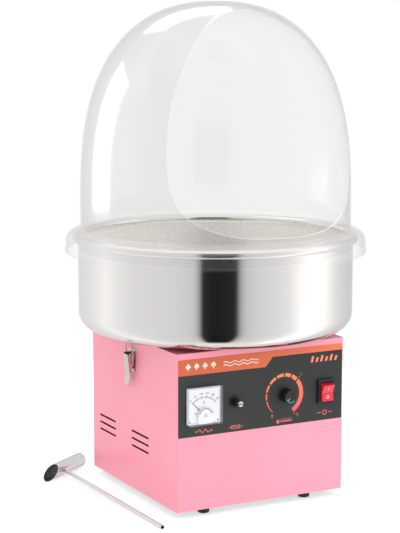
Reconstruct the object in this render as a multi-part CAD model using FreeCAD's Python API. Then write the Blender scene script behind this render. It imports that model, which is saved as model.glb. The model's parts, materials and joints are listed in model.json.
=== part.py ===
"""Cotton candy machine: square casing, spun steel bowl, spinning head, clear lift-off cover and scoop.

Millimetres, +Z up. The origin is the centre of the base on the surface that the feet stand on. The bowl and
the spinning head turn about Z, and the control panel faces -Y.
"""
import FreeCAD, Part
import math
import os

Vector = FreeCAD.Vector
X_AXIS = Vector(1, 0, 0)
Y_AXIS = Vector(0, 1, 0)
Z_AXIS = Vector(0, 0, 1)

# Casing
CASE_W = 350.0
CASE_D = 360.0
CASE_H = 290.0
SHEET = 1.2
BEND_R = 3.0
REAR_GAP = 0.3
RETURN_FLANGE = 14.0
FOOT_H = 14.0
FOOT_R = 11.0
FOOT_X = 107.0
FOOT_Y = 154.0
PLATE_GAP = 0.8
TOP_DROP = 0.6
TOP_FLANGE = 14.0
BOTTOM_FLANGE = 12.0
VENT_LENGTH = 73.0
VENT_WIDTH = 4.0
VENT_PITCH = 14.0
VENT_ROWS = 3
VENT_TOP_Z = 125.0
VENT_CENTRES_Y = (113.5, -30.0)
LOUVRE_ROWS = 6
LOUVRE_LOW_Z = 150.0
LOUVRE_X = 50.0
FLOOR_SLOT_ROWS = 5
FLOOR_SLOT_Y0 = -32.0
FLOOR_SLOT_PITCH = 16.0
FLOOR_SLOT_HALF = 30.0
REAR_SCREW_X = 160.0
REAR_SCREW_HEIGHTS = (60.0, 159.0, 258.0)
SCREW_R = 2.0
SCREW_PLAY = 0.1
SCREW_LENGTH = 10.0
SCREW_HEAD_R = 3.8
SCREW_HEAD_H = 2.2
SCREW_CROSS = 2.2
SCREW_CROSS_HALF_T = 0.4
FOOT_SOLE_ROUND = 3.0
FOOT_SCREW_HEAD_R = 4.0
FOOT_SCREW_HEAD_H = 3.0
FOOT_BORE_R = 4.5

CASE_Z0 = FOOT_H
CASE_Z1 = CASE_Z0 + CASE_H
HALF_W = CASE_W / 2
HALF_D = CASE_D / 2
FRONT_Y = -HALF_D
TOP_Z = CASE_Z1 - TOP_DROP
TOP_UNDER = TOP_Z - SHEET
FLOOR_TOP = CASE_Z0 + SHEET

# Control panel label
LABEL_T = 0.5
LABEL_TOP = 293.0
LABEL_BOTTOM = 151.0
HEADER_LOW_LEFT = 264.0
HEADER_LOW_RIGHT = 281.5
HEADER_STEP_X0 = 7.0
HEADER_STEP_X1 = 22.0
LABEL_FACE_Y = FRONT_Y - LABEL_T

# Voltmeter
METER_X = -122.0
METER_Z = 207.5
METER_SIZE = 70.0
METER_DEPTH = 12.0
METER_WALL = 1.5
METER_BACK_T = 3.0
METER_CAN_R = 25.0
METER_CAN_LENGTH = 32.0
METER_PIVOT_DROP = 17.0
METER_HUB_R = 14.0
METER_HUB_SLOT = 2.8
METER_HUB_SOLID_DROP = 7.5
METER_STUD_X = 20.0
METER_STUD_R = 2.0
METER_STUD_LENGTH = 12.0
DIAL_T = 0.8
DIAL_HOLE_R = 3.0
NEEDLE_LENGTH = 36.0
NEEDLE_T = 0.5
NEEDLE_TAIL = 6.0
NEEDLE_HALF_W = (0.9, 0.3)
NEEDLE_BOSS_R = 2.2
NEEDLE_SPINDLE_R = 1.0
NEEDLE_REST_DEG = 45.0

# Fuse holder
FUSE_X = -57.0
FUSE_Z = 206.5
FUSE_FLANGE_R = 11.0
FUSE_FLANGE_T = 3.0
FUSE_BARREL_R = 6.8
FUSE_BORE_R = 4.2
FUSE_BARREL_LENGTH = 46.0
FUSE_CAP_R = 7.5
FUSE_CAP_LENGTH = 15.0
FUSE_TIP_R = 5.2
FUSE_TIP_LENGTH = 5.0
FUSE_R = 3.0
FUSE_LENGTH = 30.0
FUSE_CAP_FLUTES = 16
FUSE_CAP_GAP = 0.3
FUSE_SLOT_HALF = 0.7
FUSE_SLOT_DEPTH = 1.6
TAB_LENGTH = 8.0
TAB_HALF_T = 0.4

# Temperature control
KNOB_X = 47.5
KNOB_Z = 208.5
KNOB_R = 12.5
KNOB_SKIRT_R = 14.0
KNOB_SKIRT_T = 2.5
KNOB_LENGTH = 19.0
KNOB_GAP = 0.6
KNOB_FLUTES = 24
KNOB_BORE_DEPTH = 13.0
KNOB_GROOVE_HALF = 0.6
KNOB_GROOVE_DEG = -140.0
FLUTE_R = 0.7
POT_R = 12.5
POT_DEPTH = 16.0
POT_BUSH_R = 4.8
POT_BUSH_OUT = 4.0
POT_SHAFT_R = 3.0
POT_BACK = 3.0
POT_TABS = (-5.0, 0.0, 5.0)
RUNNING_CLEARANCE = 0.05

# Power switch
SWITCH_X = 134.5
SWITCH_Z = 207.0
SWITCH_W = 35.0
SWITCH_H = 45.0
SWITCH_RIM = 5.0
SWITCH_OUT = 6.0
SWITCH_BODY_DEPTH = 26.0
SWITCH_WELL_DEPTH = 14.0
ROCKER_W = 24.0
ROCKER_HALF_H = 15.5
ROCKER_PIVOT_IN = 2.0
ROCKER_CREST = 17.0
ROCKER_DIP = 12.5
ROCKER_TILT = 9.0
ROCKER_BACK = 6.0
ROCKER_PIVOT_R = 1.5
SWITCH_WALL = 1.8
SWITCH_TABS = (-11.0, 0.0, 11.0)

# Bowl
BOWL_R = 260.0
BOWL_T = 1.2
BOWL_Z0 = 311.0
RIM_Z = 494.0
BOWL_CORNER_R = 34.0
BEAD_R = 8.5
BEAD_CENTRE_R = 262.0
COLLAR_R = 62.0
COLLAR_H = 34.0
COLLAR_BEND = 6.0
SEAL_IN_R = 148.0
SEAL_OUT_R = 158.0

# Clear cover
COVER_T = 3.0
COVER_R = 255.0
COVER_SHOULDER_Z = 535.0
COVER_TOP_Z = 924.0
COVER_RISE_POWER = 2.75
COVER_SPREAD_POWER = 2.35
FLANGE_Z = RIM_Z + 0.4
FLANGE_ROUND_R = 18.0
SKIRT_R = 283.0
SKIRT_Z0 = 459.0
SKIRT_LIP_H = 5.0
SKIRT_LIP_R = 285.0
WINDOW_HALF_W = 187.0
WINDOW_Z = 640.0
WINDOW_UP = 267.0
WINDOW_DOWN = 130.0
WINDOW_TOP_POWER = 2.0
WINDOW_BOTTOM_POWER = 3.0

# Spinning head
SHAFT_R = 6.0
HEAD_Z = 372.0
HEAD_BASE_R = 70.0
HEAD_BASE_T = 4.0
HEAD_RIM_STEP = 3.0
HUB_R = 14.0
HUB_H = 20.0
BAND_R = 74.0
BAND_T = 2.0
BAND_H = 44.0
BAND_SLOTS = 36
BAND_SLOT_W = 3.0
BAND_SLOT_MARGIN = 7.0
CAP_R = 76.0
CAP_T = 4.0
SUGAR_HOLE_R = 24.0
SUGAR_LIP_H = 5.0
HEATER_R = 58.0
HEATER_TUBE_R = 3.5
HEATER_Z = 392.0
STUD_RING_R = 44.0
STUD_R = 2.0
STUD_COUNT = 4
STUD_HEAD_R = 4.0
STUD_HEAD_H = 3.0
STUD_RECESS_R = 1.6
HEATER_POST_R = 2.5

# Drive
PLATE_Z = 176.0
PLATE_T = 3.0
PLATE_HALF = 78.0
POST_XY = 62.0
POST_R = 6.0
MOUNT_R = 9.0
MOUNT_H = 8.0
MOTOR_R = 48.0
MOTOR_H = 102.0
MOTOR_WALL = 4.0
MOTOR_SLOTS = 8
MOTOR_SLOT_IN = 20.0
MOTOR_SLOT_OUT = 36.0
MOTOR_SLOT_HALF = 3.0
STATOR_SLOTS = 12
STATOR_SLOT_DEPTH = 7.0
STATOR_SLOT_HALF = 2.0
STATOR_OVERHANG = 3.0
COMMUTATOR_R = 14.0
COMMUTATOR_H = 10.0
STATOR_IN_R = 30.0
ARMATURE_R = 28.0
ARMATURE_H = 58.0
CORE_Z = 90.0
MOTOR_SHAFT_Z0 = 50.0
SHAFT_JOINT_Z = 206.0
COUPLING_R = 11.0
COUPLING_H = 20.0
FAN_Z = 54.0
FAN_H = 12.0
FAN_R = 44.0
FAN_HUB_R = 11.0
FAN_BLADES = 7
FAN_PITCH_DEG = 32.0
FAN_BLADE_HALF_W = 7.5
FAN_BLADE_HALF_T = 0.8
PLATE_CORNER_R = 10.0
PLATE_BORE_R = 15.0
RING_HUB_R = 17.0
RING_HUB_Z = 222.0
RING_HUB_H = 34.0
RING_R = 21.0
RING_H = 10.0
RING_Z = (226.0, 242.0)
BRUSH_GAP = 0.3
BRUSH_LENGTH = 18.0
BRUSH_HALF = 3.8
BRUSH_BOX_X0 = 26.0
BRUSH_BOX_X1 = 62.0
BRUSH_BOX_HALF = 9.0
BRUSH_WALL = 3.0
BRUSH_PLAY = 0.2
BRUSH_LEG = 8.0
BRUSH_FOOT = 20.0
BRUSH_FOOT_H = 4.0
SPRING_R = 2.6
SPRING_WIRE_R = 0.4
SPRING_PITCH = 2.4
BEARING_R = 16.0
BEARING_H = 10.0
BEARING_Z = (264.0, 302.0)
HOUSING_R = 20.0
HOUSING_FLANGE_R = 40.0
HOUSING_FLANGE_T = 5.0
HOUSING_Z0 = 262.0
HOUSING_Z1 = 314.0
HOUSING_BORE_R = 13.0
SHIELD_OUT_R = 13.0
SHIELD_IN_R = 9.0
SHIELD_DEPTH = 1.0
LOCATOR_R = 59.0
LOCATOR_T = 3.0
LOCATOR_H = 16.0

# Toggle latches, described for the -X side and mirrored to the +X side
PIVOT_X = -184.0
PIVOT_Z = 270.0
PIN_R = 1.5
EAR_Y = 11.0
EAR_T = 1.2
EAR_NOSE_R = 6.0
LATCH_PLATE_HALF_W = 14.0
LATCH_PLATE_Z0 = 240.0
LATCH_PLATE_Z1 = 284.0
LEVER_HALF_W = 10.0
LEVER_T = 1.2
LEVER_FACE_X = -190.5
LEVER_TOP_Z = 274.0
LEVER_TIP_X = -185.5
LEVER_TIP_Z = 228.0
LEVER_LIP_X = -189.5
LEVER_LIP_Z = 215.5
CHEEK_PAD = 4.0
CHEEK_BAIL_PAD = 2.6
CHEEK_TAIL = 22.0
BAIL_X = -181.0
BAIL_Z = 257.0
BAIL_LENGTH = 46.0
BAIL_HALF_W = 14.5
BAIL_R = 1.2
BAIL_TOP_X = -183.0
BAIL_BEND_R = 3.0
CATCH_LEG_X = -180.0
CATCH_T = 1.5
CATCH_END_X = -185.5
CATCH_HALF_W = 9.0
CATCH_INNER_X = -160.0
BAR_GAP = 0.5
RIVET_R = 2.0
RIVET_HEAD_R = 3.4
RIVET_HEAD_H = 1.2
PIN_HEAD_STEP = 0.8

# Scoop
CUP_R = 14.0
CUP_T = 0.8
CUP_LENGTH = 127.0
CUP_CUT_LENGTH = 36.0
CUP_ANGLE_DEG = 35.4
CUP_TIP_X = -287.5
CUP_TIP_Y = 157.8
HANDLE_R = 4.0
HANDLE_BORE_R = 3.2
HANDLE_START = (-241.8, 190.0)
HANDLE_END = (-219.5, -211.9)

# Electrical parts in the casing
BOARD_X = (-150.0, -50.0)
BOARD_Y = (70.0, 140.0)
BOARD_Z = 30.0
BOARD_T = 1.6
BOARD_HOLE_INSET = 4.0
BOARD_HOLE_R = 1.6
STANDOFF_R = 3.5
RELAY = (8.0, 30.0, 8.0, 26.0, 16.0)
COIL = (8.0, 20.0, 52.0, 64.0, 12.0)
CONNECTOR = (74.0, 94.0, 4.0, 12.0, 10.0)
BIG_CAPACITOR = (44.0, 16.0, 6.0, 18.0)
SMALL_CAPACITOR = (44.0, 56.0, 4.0, 12.0)
SINK_X = (54.0, 90.0)
SINK_Y = (24.0, 60.0)
SINK_BASE_T = 4.0
SINK_H = 28.0
SINK_FINS = 7
SINK_FIN_T = 1.5
TERMINAL_X = (70.0, 130.0)
TERMINAL_Y = (110.0, 132.0)
TERMINAL_H = 18.0
TERMINALS = 6
TERMINAL_SCREW_R = 2.4
TERMINAL_HOLE_R = 2.0
TERMINAL_HOLE_DEPTH = 6.0
TERMINAL_WIRE_Z = 8.0
GLAND_X = 120.0
GLAND_Z = 52.0
GLAND_R = 9.0
GLAND_BORE_R = 4.0
GLAND_OUT = 20.0
GLAND_IN = 12.0
GLAND_FLANGE_T = 5.0
GLAND_ACROSS = 24.0
FUSE_NUT_T = 4.0
FUSE_NUT_ACROSS = 18.0
POT_NUT_T = 3.0
POT_NUT_ACROSS = 13.0
WIRE_R = 1.4
WIRE_BEND_R = 2.6 * WIRE_R
SWITCH_WIRE_Y = -80.0
METER_WIRE_LEFT_Y = -90.0
METER_WIRE_RIGHT_Y = -100.0
BOARD_WIRE_Y = 60.0
BOARD_WIRE_INSET = 16.0
BOARD_WIRE_UP = 6.0


def box(x0, x1, y0, y1, z0, z1):
    """Box between two corners, given axis by axis in any order."""
    low = Vector(min(x0, x1), min(y0, y1), min(z0, z1))
    return Part.makeBox(abs(x1 - x0), abs(y1 - y0), abs(z1 - z0), low)


def disc(radius, z0, z1, x=0.0, y=0.0):
    """Upright cylinder."""
    return Part.makeCylinder(radius, z1 - z0, Vector(x, y, z0), Z_AXIS)


def ring(outer, inner, z0, z1, x=0.0, y=0.0):
    """Upright tube."""
    return disc(outer, z0, z1, x, y).cut(disc(inner, z0, z1, x, y))


def peg(radius, x, z, y0, y1):
    """Cylinder along Y between two depths."""
    return Part.makeCylinder(radius, abs(y1 - y0), Vector(x, min(y0, y1), z), Y_AXIS)


def rod(radius, start, end):
    """Cylinder between two points."""
    run = end - start
    return Part.makeCylinder(radius, run.Length, start, run)


def fuse(shapes):
    """One clean solid from overlapping or touching shapes."""
    first, rest = shapes[0], shapes[1:]
    return first.fuse(list(rest)).removeSplitter() if rest else first


def drill(shape, cutters):
    return shape.cut(list(cutters)) if cutters else shape


def prism(points, run):
    """Extrudes a closed polygon."""
    wire = Part.makePolygon([*points, points[0]])
    return Part.Face(wire).extrude(run)


def lathe(edges):
    """Solid of revolution about Z of a closed outline in the XZ plane."""
    wire = Part.Wire(Part.__sortEdges__(edges))
    return Part.Face(wire).revolve(Vector(0, 0, 0), Z_AXIS, 360)


def line(a, b):
    """Straight edge in the XZ plane between two (radius, height) pairs."""
    return Part.LineSegment(Vector(a[0], 0, a[1]), Vector(b[0], 0, b[1])).toShape()


def arc(centre, radius, start_deg, end_deg):
    """Circular edge in the XZ plane, with angles counted from +X towards +Z."""
    points = []
    for share in (0.0, 0.5, 1.0):
        angle = math.radians(start_deg + (end_deg - start_deg) * share)
        x = centre[0] + radius * math.cos(angle)
        points.append(Vector(x, 0, centre[1] + radius * math.sin(angle)))
    return Part.Arc(*points).toShape()


def spline(points):
    """Smooth edge through points of the XZ plane."""
    curve = Part.BSplineCurve()
    curve.interpolate([Vector(x, 0, z) for x, z in points])
    return curve.toShape()


def rounded_wire(points, bend_radius):
    """Wire through points, with each corner rounded by a tangent arc."""
    edges = []
    last = points[0]
    for before, corner, after in zip(points, points[1:], points[2:]):
        back = (before - corner).normalize()
        ahead = (after - corner).normalize()
        half = back.getAngle(ahead) / 2
        reach = bend_radius / math.tan(half)
        middle = (back + ahead).normalize()
        centre = corner + middle * (bend_radius / math.sin(half))
        start = corner + back * reach
        end = corner + ahead * reach
        edges.append(Part.LineSegment(last, start).toShape())
        edges.append(Part.Arc(start, centre - middle * bend_radius, end).toShape())
        last = end
    edges.append(Part.LineSegment(last, points[-1]).toShape())
    return Part.Wire(edges)


def bent_rod(points, radius, bend_radius):
    """Round rod along a rounded path."""
    path = rounded_wire(points, bend_radius)
    run = points[1] - points[0]
    section = Part.Wire(Part.makeCircle(radius, points[0], run))
    return path.makePipeShell([section], True, False)


def mirrored(shape):
    """The same part on the +X side."""
    return shape.mirror(Vector(0, 0, 0), X_AXIS)


def turned(shape, point, axis, degrees):
    copy = shape.copy()
    copy.rotate(point, axis, degrees)
    return copy


def save(name, *shapes):
    """Writes one node, which may hold several separate solids."""
    solids = [solid for shape in shapes for solid in shape.Solids]
    bad = [solid for solid in solids if not solid.isValid() or solid.Volume <= 0]
    if not solids or bad:
        raise ValueError(name + " is not made of valid solids")
    whole = solids[0] if len(solids) == 1 else Part.makeCompound(solids)
    whole.exportStep("parts/" + name + ".step")


# ---------------------------------------------------------------- casing


def panel_openings(y0, y1):
    """Cutters for the holes behind the four controls."""
    half_w = SWITCH_W / 2 - SWITCH_RIM + 2
    half_h = SWITCH_H / 2 - SWITCH_RIM + 2
    return [
        peg(METER_CAN_R, METER_X, METER_Z, y0, y1),
        peg(FUSE_BARREL_R, FUSE_X, FUSE_Z, y0, y1),
        peg(POT_BUSH_R, KNOB_X, KNOB_Z, y0, y1),
        box(SWITCH_X - half_w, SWITCH_X + half_w, y0, y1, SWITCH_Z - half_h, SWITCH_Z + half_h),
    ]


def vent_slot(x, centre_y, z):
    """Cutter for one round-ended vent slot through a side wall."""
    half = VENT_LENGTH / 2 - VENT_WIDTH / 2
    radius = VENT_WIDTH / 2
    depth = 4 * SHEET
    shapes = [box(x - depth, x + depth, centre_y - half, centre_y + half, z - radius, z + radius)]
    for end in (-half, half):
        start = Vector(x - depth, centre_y + end, z)
        shapes.append(Part.makeCylinder(radius, 2 * depth, start, X_AXIS))
    return fuse(shapes)


def casing_wrap():
    """Front and both sides folded from one sheet, with return flanges at the back."""
    rear = HALF_D - SHEET - REAR_GAP
    outer = box(-HALF_W, HALF_W, FRONT_Y, rear, CASE_Z0, CASE_Z1)
    corners = [e for e in outer.Edges if e.BoundBox.ZLength > SHEET and e.BoundBox.YMax < 0]
    outer = outer.makeFillet(BEND_R, corners)
    inner = box(-HALF_W + SHEET, HALF_W - SHEET, FRONT_Y + SHEET, rear - SHEET, CASE_Z0, CASE_Z1)
    corners = [e for e in inner.Edges if e.BoundBox.ZLength > SHEET and e.BoundBox.YMax < 0]
    inner = inner.makeFillet(BEND_R - SHEET, corners)
    reach = HALF_W - SHEET - RETURN_FLANGE
    mouth = box(-reach, reach, 0, HALF_D, CASE_Z0, CASE_Z1)
    notch_low = box(-HALF_W + SHEET, HALF_W - SHEET, 0, HALF_D, CASE_Z0, CASE_Z0 + TOP_FLANGE + SHEET)
    notch_high = box(-HALF_W + SHEET, HALF_W - SHEET, 0, HALF_D, CASE_Z1 - TOP_FLANGE - SHEET, CASE_Z1)
    cutters = [inner, mouth, notch_low, notch_high, *panel_openings(FRONT_Y - 1, FRONT_Y + SHEET + 1)]
    for side in (-1, 1):
        for centre_y in VENT_CENTRES_Y:
            for row in range(VENT_ROWS):
                cutters.append(vent_slot(side * HALF_W, centre_y, VENT_TOP_Z - row * VENT_PITCH))
        for z in rivet_heights():
            start = Vector(side * HALF_W - 2 * SHEET, 0, z)
            cutters.append(Part.makeCylinder(RIVET_R, 4 * SHEET, start, X_AXIS))
    return drill(outer, cutters)


REAR_SCREWS = [(x, z) for x in (-REAR_SCREW_X, REAR_SCREW_X) for z in REAR_SCREW_HEIGHTS]


def rear_panel():
    """Flat back with louvre slots and the cable inlet hole."""
    y0, y1 = HALF_D - SHEET, HALF_D
    plate = box(-HALF_W, HALF_W, y0, y1, CASE_Z0, CASE_Z1)
    cutters = [peg(GLAND_R, GLAND_X, GLAND_Z, y0 - 1, y1 + 1)]
    cutters += [peg(SCREW_R, x, z, y0 - 1, y1 + 1) for x, z in REAR_SCREWS]
    half = VENT_LENGTH / 2
    for row in range(LOUVRE_ROWS):
        z = LOUVRE_LOW_Z + row * VENT_PITCH
        for x in (-LOUVRE_X, LOUVRE_X):
            cutters.append(box(x - half, x + half, y0 - 1, y1 + 1, z, z + VENT_WIDTH))
    return drill(plate, cutters)


def casing_flange_holes():
    """Return flange holes for the rear screws."""
    return [peg(SCREW_R, x, z, HALF_D - 8, HALF_D) for x, z in REAR_SCREWS]


def tray(z_face, z_edge, gap):
    """Flat plate with its four edges folded, fitting inside the casing."""
    x = HALF_W - SHEET - gap
    y0 = FRONT_Y + SHEET + gap
    y1 = HALF_D - SHEET - REAR_GAP - SHEET - gap
    outer = box(-x, x, y0, y1, z_face, z_edge)
    corners = [e for e in outer.Edges if e.BoundBox.ZLength > SHEET]
    outer = outer.makeFillet(BEND_R - SHEET, corners)
    direction = 1 if z_edge > z_face else -1
    hollow_from = z_face + direction * SHEET
    hollow = box(-x + SHEET, x - SHEET, y0 + SHEET, y1 - SHEET, hollow_from, z_edge + direction)
    return outer.cut(hollow)


def top_plate():
    """Lid of the casing, folded down on all sides, with a collar that centres the bowl."""
    cutters = [disc(HOUSING_R, TOP_UNDER - 1, TOP_Z + 1)]
    for x, y in square_corners(POST_XY):
        cutters.append(disc(SCREW_R, TOP_UNDER - 1, TOP_Z + 1, x, y))
    lid = drill(tray(TOP_Z, TOP_Z - TOP_FLANGE, PLATE_GAP), cutters)
    return fuse([lid, ring(LOCATOR_R, LOCATOR_R - LOCATOR_T, TOP_UNDER, TOP_Z + LOCATOR_H)])


def bottom_plate():
    """Floor of the casing, folded up on all sides, with air slots and foot holes."""
    cutters = [disc(SCREW_R, CASE_Z0 - 1, FLOOR_TOP + 1, x, y) for x, y in foot_places()]
    half = FLOOR_SLOT_HALF
    for row in range(FLOOR_SLOT_ROWS):
        y = FLOOR_SLOT_Y0 + row * FLOOR_SLOT_PITCH
        cutters.append(box(-half, half, y, y + VENT_WIDTH, CASE_Z0 - 1, FLOOR_TOP + 1))
    return drill(tray(CASE_Z0, CASE_Z0 + BOTTOM_FLANGE, REAR_GAP), cutters)


def square_corners(half):
    return [(x, y) for x in (-half, half) for y in (-half, half)]


def foot_places():
    return [(x, y) for x in (-FOOT_X, FOOT_X) for y in (-FOOT_Y, FOOT_Y)]


def foot(x, y):
    """Rubber foot with a rounded sole edge and a counterbore for its screw."""
    body = disc(FOOT_R, 0, FOOT_H, x, y)
    sole = [e for e in body.Edges if e.BoundBox.ZMax < 1]
    body = body.makeFillet(FOOT_SOLE_ROUND, sole)
    screw_hole = disc(SCREW_R, FOOT_H / 2, FOOT_H, x, y)
    return body.cut([screw_hole, disc(FOOT_BORE_R, 0, FOOT_H / 2, x, y)])


def foot_screw(x, y):
    head = disc(FOOT_SCREW_HEAD_R, FOOT_H / 2 - FOOT_SCREW_HEAD_H, FOOT_H / 2, x, y)
    return fuse([head, disc(SCREW_R - SCREW_PLAY, FOOT_H / 2, FLOOR_TOP + 2 * SCREW_R, x, y)])


def rear_screw(x, z):
    """Round-headed screw with a cross recess."""
    face = HALF_D + SCREW_HEAD_H
    head = peg(SCREW_HEAD_R, x, z, HALF_D, face)
    head = head.makeFillet(1.2, [e for e in head.Edges if e.BoundBox.YMin > face - 0.1])
    long, thin = SCREW_CROSS, SCREW_CROSS_HALF_T
    across = box(x - long, x + long, face - 1, face + 1, z - thin, z + thin)
    upright = box(x - thin, x + thin, face - 1, face + 1, z - long, z + long)
    shank = peg(SCREW_R - SCREW_PLAY, x, z, HALF_D - SCREW_LENGTH, HALF_D)
    return fuse([head, shank]).cut([across, upright])


def control_label():
    """Thin printed plate over the controls, with room left for the header band."""
    x = HALF_W - BEND_R
    points = [
        Vector(-x, FRONT_Y, LABEL_BOTTOM),
        Vector(x, FRONT_Y, LABEL_BOTTOM),
        Vector(x, FRONT_Y, HEADER_LOW_RIGHT),
        Vector(HEADER_STEP_X1, FRONT_Y, HEADER_LOW_RIGHT),
        Vector(HEADER_STEP_X0, FRONT_Y, HEADER_LOW_LEFT),
        Vector(-x, FRONT_Y, HEADER_LOW_LEFT),
    ]
    plate = prism(points, Vector(0, -LABEL_T, 0))
    return drill(plate, panel_openings(LABEL_FACE_Y - 1, FRONT_Y + 1))


def header_band():
    """Coloured band above the control label, deeper at its left end."""
    x = HALF_W - BEND_R
    points = [
        Vector(-x, FRONT_Y, LABEL_TOP),
        Vector(-x, FRONT_Y, HEADER_LOW_LEFT),
        Vector(HEADER_STEP_X0, FRONT_Y, HEADER_LOW_LEFT),
        Vector(HEADER_STEP_X1, FRONT_Y, HEADER_LOW_RIGHT),
        Vector(x, FRONT_Y, HEADER_LOW_RIGHT),
        Vector(x, FRONT_Y, LABEL_TOP),
    ]
    return prism(points, Vector(0, -LABEL_T, 0))


# ---------------------------------------------------------------- controls

METER_BACK_Y = LABEL_FACE_Y - METER_BACK_T
METER_FRONT_Y = LABEL_FACE_Y - METER_DEPTH
METER_PIVOT_Z = METER_Z - METER_PIVOT_DROP


def meter_square(half, y0, y1, corner):
    """Square block of the meter front, with rounded corners."""
    block = box(METER_X - half, METER_X + half, y0, y1, METER_Z - half, METER_Z + half)
    return block.makeFillet(corner, [e for e in block.Edges if e.BoundBox.YLength > corner / 2])


def voltmeter_case():
    """Moulded back of the meter: a square tray and the round can behind the panel."""
    half = METER_SIZE / 2 - METER_WALL
    tray_block = meter_square(half, METER_BACK_Y, LABEL_FACE_Y, 1.5)
    can_end = LABEL_FACE_Y + METER_CAN_LENGTH
    can_r = METER_CAN_R - 0.2
    can = peg(can_r, METER_X, METER_Z, LABEL_FACE_Y, can_end)
    room = peg(can_r - METER_WALL, METER_X, METER_Z, LABEL_FACE_Y, can_end - METER_WALL)
    studs = []
    for dx in (-METER_STUD_X, METER_STUD_X):
        studs.append(peg(METER_STUD_R, METER_X + dx, METER_Z, can_end, can_end + METER_STUD_LENGTH))
    return fuse([tray_block, can.cut(room), *studs])


def voltmeter_cover():
    """Clear square box over the dial."""
    outer = meter_square(METER_SIZE / 2, METER_FRONT_Y, LABEL_FACE_Y, 3.0)
    front_edges = [e for e in outer.Edges if e.BoundBox.YMax < METER_FRONT_Y + 0.01]
    outer = outer.makeFillet(1.0, front_edges)
    inner = meter_square(METER_SIZE / 2 - METER_WALL, METER_FRONT_Y + METER_WALL, LABEL_FACE_Y, 1.5)
    return outer.cut(inner)


def voltmeter_dial():
    """Dial plate with the hole that the movement's pivot comes through."""
    half = METER_SIZE / 2 - METER_WALL - 1
    plate = meter_square(half, METER_BACK_Y - DIAL_T, METER_BACK_Y, 0.3)
    return plate.cut(peg(DIAL_HOLE_R, METER_X, METER_PIVOT_Z, METER_BACK_Y - 2, METER_BACK_Y))


def voltmeter_hub():
    """Half-round shield over the meter's movement, open behind for the pointer's boss."""
    y0, y1 = METER_FRONT_Y + METER_WALL + 0.3, METER_BACK_Y - DIAL_T
    low = METER_Z - METER_SIZE / 2 + METER_WALL + 1.5
    dome = peg(METER_HUB_R, METER_X, METER_PIVOT_Z, y0, y1)
    skirt = box(METER_X - METER_HUB_R, METER_X + METER_HUB_R, y0, y1, low, METER_PIVOT_Z)
    body = fuse([dome, skirt])
    slot = peg(METER_HUB_R + 1, METER_X, METER_PIVOT_Z, y1 - METER_HUB_SLOT, y1)
    solid_top = METER_PIVOT_Z - METER_HUB_SOLID_DROP
    keep = box(METER_X - METER_HUB_R, METER_X + METER_HUB_R, y0, y1, low, solid_top)
    return body.cut(slot.cut(keep))


def voltmeter_needle():
    """Pointer on its pivot, at zero."""
    y1 = METER_BACK_Y - DIAL_T - 0.7
    y0 = y1 - NEEDLE_T
    tail_z = METER_PIVOT_Z - NEEDLE_TAIL
    tip_z = METER_PIVOT_Z + NEEDLE_LENGTH
    tail, tip = NEEDLE_HALF_W
    points = [
        Vector(METER_X - tail, y0, tail_z),
        Vector(METER_X + tail, y0, tail_z),
        Vector(METER_X + tip, y0, tip_z),
        Vector(METER_X - tip, y0, tip_z),
    ]
    blade = prism(points, Vector(0, NEEDLE_T, 0))
    boss = peg(NEEDLE_BOSS_R, METER_X, METER_PIVOT_Z, y0 - 0.6, y1)
    spindle = peg(NEEDLE_SPINDLE_R, METER_X, METER_PIVOT_Z, y1, METER_BACK_Y)
    whole = fuse([blade, boss, spindle])
    return turned(whole, Vector(METER_X, 0, METER_PIVOT_Z), Y_AXIS, -NEEDLE_REST_DEG)


def fuse_holder():
    """Panel fuse holder: front flange and the barrel behind it."""
    flange_y = LABEL_FACE_Y - FUSE_FLANGE_T
    flange = peg(FUSE_FLANGE_R, FUSE_X, FUSE_Z, flange_y, LABEL_FACE_Y)
    flange = flange.makeFillet(1.2, [e for e in flange.Edges if e.BoundBox.YMax < flange_y + 0.01])
    end_y = LABEL_FACE_Y + FUSE_BARREL_LENGTH
    barrel = peg(FUSE_BARREL_R - 0.1, FUSE_X, FUSE_Z, LABEL_FACE_Y, end_y)
    tab = box(FUSE_X - 2, FUSE_X + 2, end_y, end_y + TAB_LENGTH, FUSE_Z - TAB_HALF_T, FUSE_Z + TAB_HALF_T)
    bore = peg(FUSE_BORE_R, FUSE_X, FUSE_Z, flange_y - 1, end_y - 4)
    return fuse([flange, barrel, tab]).cut(bore)


def fuse_cap():
    """Fluted cap with a slotted tip."""
    y1 = LABEL_FACE_Y - FUSE_FLANGE_T - FUSE_CAP_GAP
    y0 = y1 - FUSE_CAP_LENGTH
    body = peg(FUSE_CAP_R, FUSE_X, FUSE_Z, y0, y1)
    body = body.makeFillet(1.2, [e for e in body.Edges if e.BoundBox.YMax < y0 + 0.01])
    body = body.cut(flutes(FUSE_CAP_FLUTES, FUSE_CAP_R, FUSE_X, FUSE_Z, y0 + 3, y1 - 2))
    tip_y = y0 - FUSE_TIP_LENGTH
    tip = peg(FUSE_TIP_R, FUSE_X, FUSE_Z, tip_y, y0)
    tip = tip.makeFillet(1.4, [e for e in tip.Edges if e.BoundBox.YMax < tip_y + 0.01])
    slot_end = tip_y + FUSE_SLOT_DEPTH
    slot_z0, slot_z1 = FUSE_Z - FUSE_SLOT_HALF, FUSE_Z + FUSE_SLOT_HALF
    slot = box(FUSE_X - FUSE_TIP_R, FUSE_X + FUSE_TIP_R, tip_y - 1, slot_end, slot_z0, slot_z1)
    return fuse([body, tip]).cut(slot)


def fuse_tube():
    """Cartridge fuse carried by the cap."""
    y0 = LABEL_FACE_Y - FUSE_FLANGE_T - FUSE_CAP_GAP
    return peg(FUSE_R, FUSE_X, FUSE_Z, y0, y0 + FUSE_LENGTH)


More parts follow.
